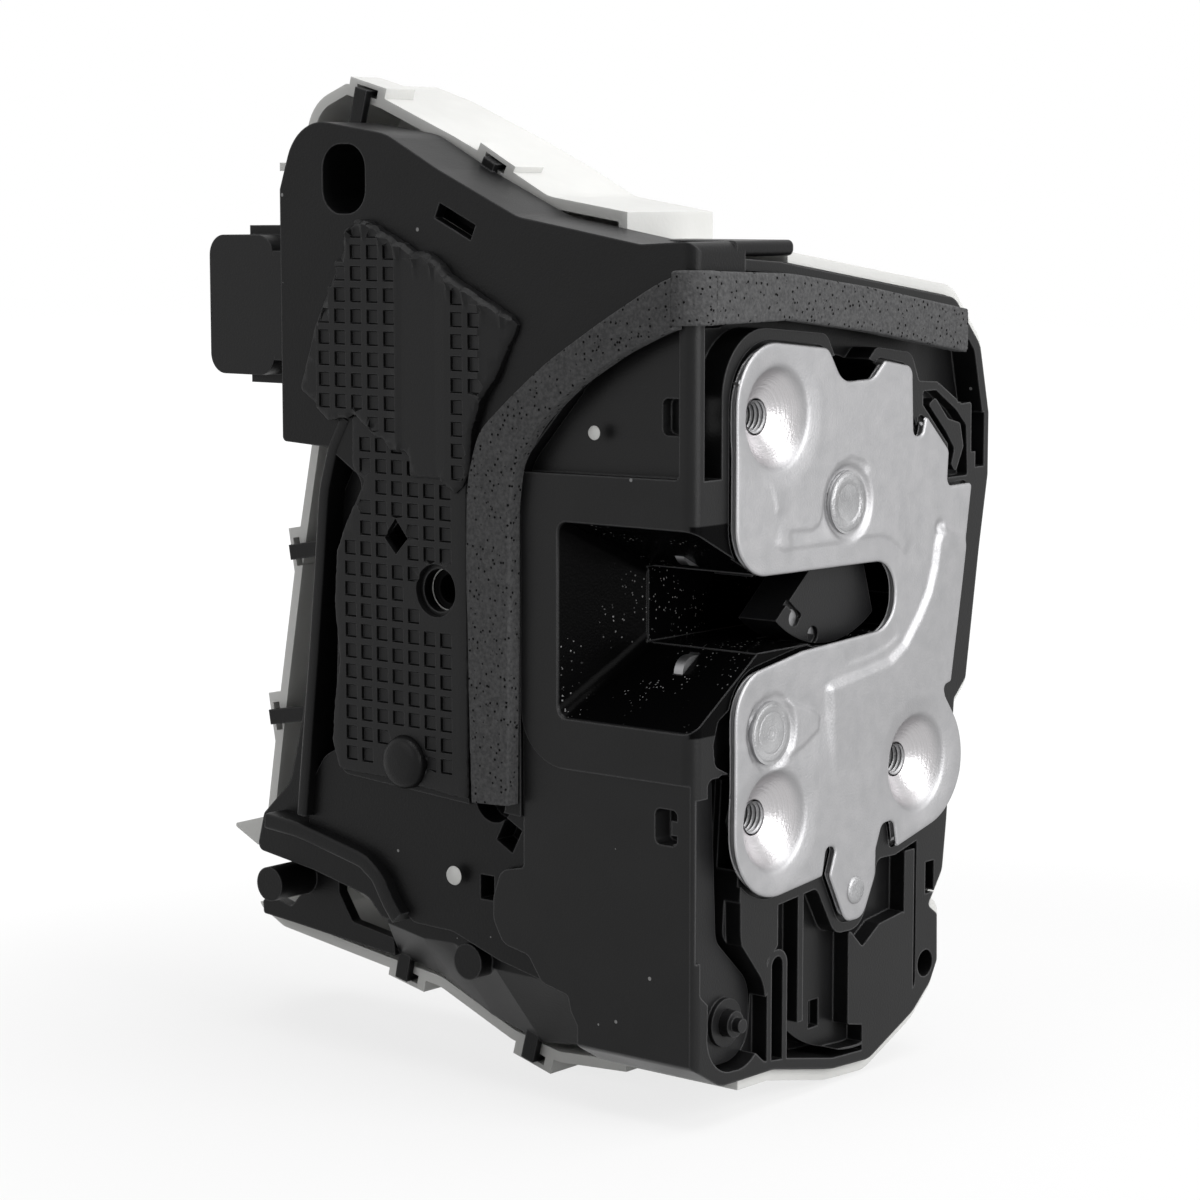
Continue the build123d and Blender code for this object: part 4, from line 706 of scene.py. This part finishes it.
def makePlate():
    outline = dense(faceLoops("face_plate", 0.0)[0], 0.7)
    after = np.roll(outline, -1, 0)
    if (after[:, 1] * outline[:, 0] - after[:, 0] * outline[:, 1]).sum() < 0:
        outline = outline[::-1]
    rivets = [(layout["clawPin"], plate["rivetHole"], 48), (layout["pawlPin"], plate["rivetHole"], 48),
              (layout["tabRivet"], plate["tabHole"], 24)]
    holes = [disc(centre, 3.2, 72) for centre in layout["cones"]] + [disc(*rivet) for rivet in rivets]
    step = plate["spacing"]
    low, high = outline.min(0), outline.max(0)
    rows = np.arange(low[1], high[1], step * 0.866)
    cols = np.arange(low[0], high[0], step)
    y, z = np.meshgrid(cols, rows)
    y[1::2] += step / 2
    inner = np.stack([y.ravel(), z.ravel()], -1)
    inner = inner[inside(inner, outline)]
    inner = inner[nearLine(inner, outline, True)[0] > 0.75]
    inner = np.vstack([inner, edgeRings(outline, (0.06, 0.16, 0.3, 0.5), 0.93)])
    for centre in layout["cones"]:
        out = np.hypot(inner[:, 0] - centre[0], inner[:, 1] - centre[1])
        gap = nearLine(inner, outline, True)[0]
        inner = inner[(out > 13.1) | (gap < 0.62)]
        for r in (3.5, 3.9, 4.4, 5.0, 5.7, 6.4, 7.0, 7.6, 8.1, 8.5, 8.9, 9.3, 9.8, 10.4, 11.1, 12.0, 12.8):
            ring = disc(centre, r, 96)
            ring = ring[inside(ring, outline)]
            inner = np.vstack([inner, ring[nearLine(ring, outline, True)[0] > 0.72]])
    for centre, r, _ in rivets:
        inner = inner[np.hypot(inner[:, 0] - centre[0], inner[:, 1] - centre[1]) > r + 0.2]
    places, faces = cutSheet(outline, holes, inner)
    height = plateHeight(places, outline)
    points = np.stack([height, places[:, 0], places[:, 1]], -1) * mm
    faces = facing(points, faces, 0, 1)
    piece = meshPiece("plateSkin", points, faces, "zinc")
    thick = piece.modifiers.new("thickness", "SOLIDIFY")
    thick.thickness = plate["thickness"] * mm
    thick.offset = -1
    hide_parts("face_plate")
    return len(faces)


print("face plate pressed,", makePlate(), "faces")

# rivet heads, as (radius, x) from the middle outwards
rivetHead = {
    "clawPin": [(0, -0.18), (1.2, -0.18), (2.4, -0.2), (3.2, -0.2), (3.45, -0.12), (3.8, 0.0), (4.3, 0.06),
                (4.8, 0.02), (5.3, -0.14), (5.7, -0.45), (5.85, -0.9)],
    "pawlPin": [(0, -0.3), (0.35, -0.3), (0.55, -0.12), (1.1, -0.08), (1.25, -0.14), (1.4, -0.08), (3.5, -0.06),
                (3.75, -0.14), (4.0, -0.07), (4.8, -0.05), (5.15, -0.12), (5.5, -0.35), (5.7, -0.8)],
    "tabRivet": [(0, 0.52), (1.0, 0.52), (1.7, 0.5), (2.2, 0.42), (2.55, 0.2), (2.65, -0.1)],
}


def makeHead(name, wobble, seed):
    radii, heights = np.array(rivetHead[name], float).T
    fine = np.linspace(0, radii[-1], 46)
    profile = np.stack([fine, np.interp(fine, radii, heights)], -1)
    return lathed(name + "Head", layout[name], profile, "rivet", wobble=wobble, seed=seed)


makeHead("clawPin", 0.03, 3)
makeHead("pawlPin", 0.004, 5)
makeHead("tabRivet", 0.02, 8)
print("rivet heads turned")

# damping pad: lower and upper waffle sheets on the panel, as (x, z) in mm
pad = {
    "recess": 0.5,
    "across": (0.0, 0.24, 2.62, 2.86), "upright": (0.0, 0.28, 2.5, 2.76),
    "lower": {
        "pitch": (4.0, 3.9), "start": (-83.2, 2.75), "height": 1.2, "keep": 1.9,
        "outline": [(-81.2, 33.0, 1), (-81.2, 23.0, 1), (-78.1, 20.7, 0.6), (-80.6, 16.6, 2), (-82.9, 12.9, 2),
                    (-85.5, 7.1, 3), (-86.2, -2.5, 4), (-85.0, -13.8, 4), (-86.5, -21.6, 3), (-87.1, -29.4, 3),
                    (-85.3, -34.5, 1), (-72.0, -34.8, 1), (-52.6, -36.6, 1), (-52.6, 33.0, 1)],
    },
    "upper": {
        "pitch": (4.15, 3.95), "start": (-84.5, 41.9), "height": 2.1, "keep": 0.8,
        "outline": [(-81.6, 66.6, 1.2), (-79.0, 69.0, 1.5), (-76.5, 68.7, 1), (-67.0, 64.4, 4), (-64.7, 63.0, 2),
                    (-62.3, 63.4, 3), (-58.3, 61.2, 3), (-56.5, 59.2, 2), (-42.3, 52.3, 2), (-40.2, 50.6, 1.6),
                    (-42.9, 46.0, 3), (-45.4, 41.0, 3), (-48.6, 37.0, 2), (-51.0, 31.0, 3), (-51.4, 24.0, 2),
                    (-53.0, 21.0, 1), (-55.1, 19.6, 0.6), (-57.2, 21.0, 0.8), (-58.6, 22.1, 0.4), (-66.2, 22.1, 0.4),
                    (-66.4, 25.6, 0.6), (-67.4, 26.6, 0.5), (-71.0, 26.8, 0.5), (-72.6, 28.6, 0.4),
                    (-74.6, 29.0, 0.4), (-77.6, 31.2, 0.5), (-80.0, 33.0, 0.4), (-82.0, 32.2, 0.4),
                    (-83.8, 32.2, 0.4), (-86.8, 31.6, 0.5), (-89.0, 33.2, 0.8), (-91.3, 34.6, 1),
                    (-95.2, 37.0, 1.4), (-90.9, 49.6, 4)],
    },
    "blocks": [(-89.6, -69.2), (-57.2, -48.9)],
    "flapLeft": [(-81.4, 67.5), (-82.0, 65.8), (-81.8, 62.0), (-84.4, 61.4), (-84.6, 57.4), (-86.3, 56.5),
                 (-86.5, 52.6), (-88.8, 51.2), (-89.5, 49.0), (-89.6, 33.0)],
}


def sheetLines(start, low, high, breaks, pitch):
    # places of the cell lines: the breaks inside every cell of the pitch
    first = math.floor((low - start) / pitch)
    count = math.ceil((high - low) / pitch) + 2
    cells = start + pitch * (first + np.arange(count))
    return (cells[:, None] + np.array([*breaks, (breaks[-1] + pitch) / 2])[None, :]).ravel()


def recessDepth(u, v, breaksU, breaksV, pitch):
    # 1 on the floor of a cell and 0 on its ribs, with straight walls between the breaks
    flatU = np.interp(u, [*breaksU, pitch[0]], [0, 1, 1, 0, 0])
    flatV = np.interp(v, [*breaksV, pitch[1]], [0, 1, 1, 0, 0])
    return np.minimum(flatU, flatV)


def makeSheet(name, part, holes):
    outline = roundedLoop(part["outline"], 0.7)
    outline = outline + np.random.default_rng(len(name)).normal(0, 0.06, outline.shape)
    pitch, start = part["pitch"], part["start"]
    low, high = outline.min(0), outline.max(0)
    xs = sheetLines(start[0], low[0], high[0], pad["across"], pitch[0])
    zs = sheetLines(start[1], low[1], high[1], pad["upright"], pitch[1])
    x, z = np.meshgrid(xs, zs)
    inner = np.stack([x.ravel(), z.ravel()], -1)
    inner = inner[inside(inner, outline)]
    inner = inner[nearLine(inner, outline, True)[0] > 0.2]
    for hole in holes:
        inner = inner[~inside(inner, hole)]
        inner = inner[nearLine(inner, hole, True)[0] > 0.15]
    more = edgeRings(outline, (0.25, 0.6), 0.9)
    for hole in holes:
        more = more[~inside(more, hole)]
    inner = np.vstack([inner, more])
    places, faces = cutSheet(outline, holes, inner)

    def cellOf(points):
        # where each point lies in its cell, and whether the cell is pressed
        shift = (points - np.array(start)) / np.array(pitch)
        cell = np.floor(shift)
        middle = np.array(start) + (cell + 0.36) * np.array(pitch)
        use = inside(middle, outline) & (nearLine(middle, outline, True)[0] > part["keep"])
        for hole in holes:
            use &= ~inside(middle, hole) & (nearLine(middle, hole, True)[0] > 1.0)
        if name == "padUpper":
            use &= np.logical_or.reduce([(middle[:, 0] > a) & (middle[:, 0] < b) for a, b in pad["blocks"]])
            use &= nearLine(middle, np.array(pad["flapLeft"], float))[1] > 0
        return (shift - cell) * np.array(pitch), use

    local, use = cellOf(places)
    depth = recessDepth(local[:, 0], local[:, 1], pad["across"], pad["upright"], pitch) * use
    height = part["height"] - pad["recess"] * depth
    gap = nearLine(places, outline, True)[0]
    if name == "padUpper":
        # thin flap at the left, sloping flap at the right, raised lines beside the plain strip, bead along the top
        d, side, _, _ = nearLine(places, np.array(pad["flapLeft"], float))
        height -= 1.25 * smoothStep(-side * d, -0.15, 0.35)
        height -= 0.7 * smoothStep(places[:, 0], -48.6, -41.0)
        for line in (-68.9, -57.9, -48.7):
            height += 0.34 * np.exp(-((places[:, 0] - line) / 0.26) ** 2)
        height -= 0.25 * (smoothStep(places[:, 0], -68.7, -68.2) * smoothStep(places[:, 0], -58.2, -58.7))
        top = nearLine(places, np.array([(-81.0, 67.6), (-77.6, 68.9), (-67.0, 64.4), (-64.6, 62.9), (-62.2, 63.4),
                                         (-58.2, 61.2), (-56.4, 59.2), (-42.0, 52.2)], float))[0]
        height += 0.6 * np.exp(-((top - 0.9) / 0.5) ** 2)
        ticks = np.abs(local[:, 0] - (pad["across"][-1] + pitch[0]) / 2)
        height += 0.42 * np.exp(-(ticks / 0.32) ** 2) * smoothStep(top, 4.2, 1.8)
        height = height - np.maximum(0.8 - gap, 0) ** 2 * 0.9
    else:
        height = height - np.maximum(0.5 - gap, 0) ** 2 * 1.4
    middle = places[faces].mean(1)
    local, use = cellOf(middle)
    inU, inV = pad["across"], pad["upright"]
    wall = (use & (local[:, 0] < inU[3]) & (local[:, 1] < inV[3])
            & ((local[:, 0] < inU[1]) | (local[:, 1] < inV[1])))
    points = np.stack([places[:, 0], broadY - height, places[:, 1]], -1) * mm
    base = np.stack([places[:, 0], np.full(len(places), broadY + 0.05), places[:, 1]], -1) * mm
    faces = facing(points, faces, 1, -1)
    points, allFaces = withSkirt(points, faces, base)
    marks = [*wall.astype(float), *([0.0] * (len(allFaces) - len(faces)))]
    piece = meshPiece(name, points, allFaces, "pad", sharpAngle=32, marks=marks)
    return piece


# painted shade: near-black cups behind the openings of the broad side stand for the shade deep inside them; outline
# as (x, z) in mm, depth, size of the step inside
cup = {
    "round": (disc((-60.2, 1.5), 3.75, 40), 7.0, 0.72),
    "slot": (dense(np.array([(-61.2, 69.5), (-52.0, 65.3), (-50.7, 68.0), (-59.9, 72.2)]), 0.6), 5.0, None),
    "diamond": (dense(np.array([(-73.4, 10.6), (-70.1, 7.2), (-66.8, 10.6), (-70.1, 14.5)]), 0.6), 6.0, None),
}


def makeCup(name, loop, depth, ledge):
    # the outline swept inwards from just under the face and closed by a floor, as (share of its size, y)
    floorY = broadY + depth
    levels = [(1.0, -50.2), (1.0, floorY), (0.0, floorY)]
    if ledge:
        levels = [(1.0, -50.2), (1.0, -49.6), (ledge, -49.5), (ledge, floorY), (0.0, floorY)]
    middle = loop.mean(0)
    rows = [np.stack([middle[0] + (loop[:, 0] - middle[0]) * s, np.full(len(loop), y),
                      middle[1] + (loop[:, 1] - middle[1]) * s], -1) for s, y in levels]
    return meshPiece(name + "Cup", np.vstack(rows) * mm, gridFaces(len(rows), len(loop), True), "dark",
                     smooth=False)


for cupName, (loop, depth, ledge) in cup.items():
    makeCup(cupName, loop, depth, ledge)

padHoles = [disc((-60.2, 1.5), 4.9, 48), disc((-68.0, -31.2), 5.05, 48),
            dense(np.array([(-73.1, 10.6), (-70.1, 7.5), (-67.1, 10.6), (-70.1, 14.2)]), 0.5)]
lowerPad = makeSheet("padLower", pad["lower"], padHoles)
makeSheet("padUpper", pad["upper"], [])
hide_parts("damping_pad")
print("damping pad laid")

# foam seal: a soft band up the broad side, round the corner and along the door face
foam = {
    "thick": 2.95, "rows": 26,
    "outer": [(-50.3, -36.4), (-51.0, -12.0), (-51.3, 6.0), (-51.2, 22.0), (-48.2, 31.5), (-41.0, 37.6),
              (-31.8, 44.6), (-20.0, 51.6), (-8.0, 58.2), (-1.5, 60.6)],
    "inner": [(-41.4, -36.0), (-41.1, -14.0), (-40.9, 2.0), (-40.9, 17.0), (-39.6, 26.0), (-34.0, 33.6),
              (-25.2, 40.6), (-15.0, 46.4), (-6.0, 50.2), (-1.5, 51.3)],
    "top": [(-52.5, 60.7), (-28.0, 59.8), (-3.5, 56.9), (28.0, 52.2)],
    "bottom": [(-52.5, 51.4), (-28.0, 51.6), (-3.5, 48.8), (28.0, 44.0)],
}


def evenly(line, count):
    # smooth curve through the points, then count places along it
    line = np.array(line, float)
    t = np.linspace(0, len(line) - 1, 400)
    fine = np.stack([np.interp(t, np.arange(len(line)), line[:, k]) for k in (0, 1)], -1)
    kernel = np.hanning(45) / np.hanning(45).sum()
    for k in (0, 1):
        ends = np.concatenate([2 * fine[0, k] - fine[22:0:-1, k], fine[:, k], 2 * fine[-1, k] - fine[-2:-24:-1, k]])
        fine[:, k] = np.convolve(ends, kernel, "valid")
    return np.stack([np.interp(np.linspace(0, 399, count), np.arange(400), fine[:, k]) for k in (0, 1)], -1)


def makeFoam():
    side, wrap, front = 150, 14, 100
    corner, turn = 2.5, np.linspace(0, np.pi / 2, wrap + 2)[1:-1]
    hubX, hubY = doorX - corner, broadY + corner

    def edgeLine(broad, high, door):
        # one edge of the band: along the broad side, round the corner at one height, along the door face
        return np.vstack([
            np.stack([np.minimum(broad[:, 0], hubX - 0.05), np.full(side, broadY), broad[:, 1]], -1),
            np.stack([hubX + corner * np.sin(turn), hubY - corner * np.cos(turn), np.full(wrap, high)], -1),
            np.stack([np.full(front, doorX), np.maximum(door[:, 0], hubY + 0.05), door[:, 1]], -1)])

    lowA = edgeLine(evenly(foam["outer"], side), 60.7, evenly(foam["top"], front))
    lowB = edgeLine(evenly(foam["inner"], side), 51.35, evenly(foam["bottom"], front))
    # the band stands off towards -Y, and its normal turns about the corner to +X
    out = np.vstack([np.tile([0, -1.0, 0], (side, 1)), np.stack([np.sin(turn), -np.cos(turn), 0 * turn], -1),
                     np.tile([1.0, 0, 0], (front, 1))])
    # section: up one side, a rounded corner, across the crowned top, and down the other side
    width = np.linalg.norm(lowA - lowB, axis=1)[:, None]
    r, lift, bend = 0.55, foam["thick"], np.linspace(0, np.pi / 2, 6)
    roundU, roundV = r * (1 - np.cos(bend)), lift - r * (1 - np.sin(bend))
    across = np.linspace(0, 1, foam["rows"])[1:-1]
    u = np.hstack([0 * width, 0 * width, 0 * width + roundU, r + (width - 2 * r) * across,
                   width - roundU[::-1], width, width])
    v = 0 * width + np.concatenate([[0, lift * 0.45], roundV, lift + 0.12 * np.sin(np.pi * across),
                                    roundV[::-1], [lift * 0.45, 0]])
    rough = np.random.default_rng(11).normal(0, 0.035, u.shape)
    slow = np.sin(np.linspace(0, 60, len(u)))[:, None] * 0.05
    v = np.where(v > 0.1, v + rough + slow, v)
    along = (lowA - lowB) / width
    points = lowB[:, None, :] + along[:, None, :] * u[:, :, None] + out[:, None, :] * v[:, :, None]
    faces = sweptFaces(*points.shape[:2])
    piece = meshPiece("foamBand", points.reshape(-1, 3) * mm, faces, "foam", sharpAngle=50)
    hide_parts("foam_seal")
    return piece


makeFoam()
print("foam laid")

# rails and rim at the lower left of the broad side, as (x, z) in mm: line, width, rise above the face, depth
ridge = {
    "railLeft": ([(-83.9, 32.0), (-87.4, 26.0), (-89.8, 18.0), (-91.2, 3.0), (-93.0, -14.0), (-95.0, -31.0),
                  (-96.6, -45.0)], 2.4, 0.3, 13.5),
    "rimLow": ([(-106.0, -47.2), (-97.6, -47.9), (-89.4, -49.6), (-80.4, -51.6), (-76.6, -54.2), (-73.6, -59.0),
                (-71.4, -61.6)], 3.0, 0.7, 8.0),
}


def makeRidge(name, line, width, rise, deep):
    # the section goes up one side, round two quarter circles and down the other, swept along the smoothed line
    spine = evenly(line, 70)
    along = np.gradient(spine, axis=0)
    side = np.stack([-along[:, 1], along[:, 0]], -1) / np.linalg.norm(along, axis=1)[:, None]
    half, r = width / 2, 0.6
    turn = np.linspace(0, np.pi / 2, 5)
    left = [(-half + r * (1 - np.cos(a)), rise - r * (1 - np.sin(a))) for a in turn]
    section = np.array([(-half, -deep), *left, *[(-a, b) for a, b in left[::-1]], (half, -deep)])
    flat = spine[:, None, :] + side[:, None, :] * section[None, :, :1]
    points = np.stack([flat[..., 0], np.broadcast_to(broadY - section[:, 1], flat.shape[:2]), flat[..., 1]], -1)
    return meshPiece(name, points.reshape(-1, 3) * mm, sweptFaces(*points.shape[:2]), "cover",
                     sharpAngle=50)


for ridgeName, setting in ridge.items():
    makeRidge(ridgeName, *setting)

# domed boss and the two pale plugs of the broad side: profiles of (radius, height over the face), centres (x, z)
boss = {
    "bossDome": ((-68.0, -31.2), "cover", "cover_plastic",
                 [(0, 3.3), (2.4, 3.25), (3.6, 3.1), (4.3, 2.8), (4.75, 2.3), (4.95, 1.6), (5.0, -0.5)]),
    "plugLow": ((-57.4, -51.5), "white", "white_nylon", [(0, 0.06), (1.6, 0.06), (1.8, -0.3)]),
    "plugHigh": ((-23.7, 32.1), "white", "white_nylon", [(0, 0.06), (1.1, 0.06), (1.3, -0.3)]),
}


def makeBoss(name, centre, look, slotName, profile):
    # the profile turned about an axis along Y
    radii, rises = np.array(profile, float).T[:, :, None]
    steps = 48
    turn = np.linspace(0, 2 * np.pi, steps, endpoint=False)
    points = np.stack([centre[0] + radii * np.cos(turn), broadY - rises + 0 * turn,
                       centre[1] + radii * np.sin(turn)], -1)
    return meshPiece(name, points.reshape(-1, 3) * mm, gridFaces(len(radii), steps, True)[:, ::-1], look)


for bossName, setting in boss.items():
    makeBoss(bossName, *setting)
print("rails, boss and plugs made")
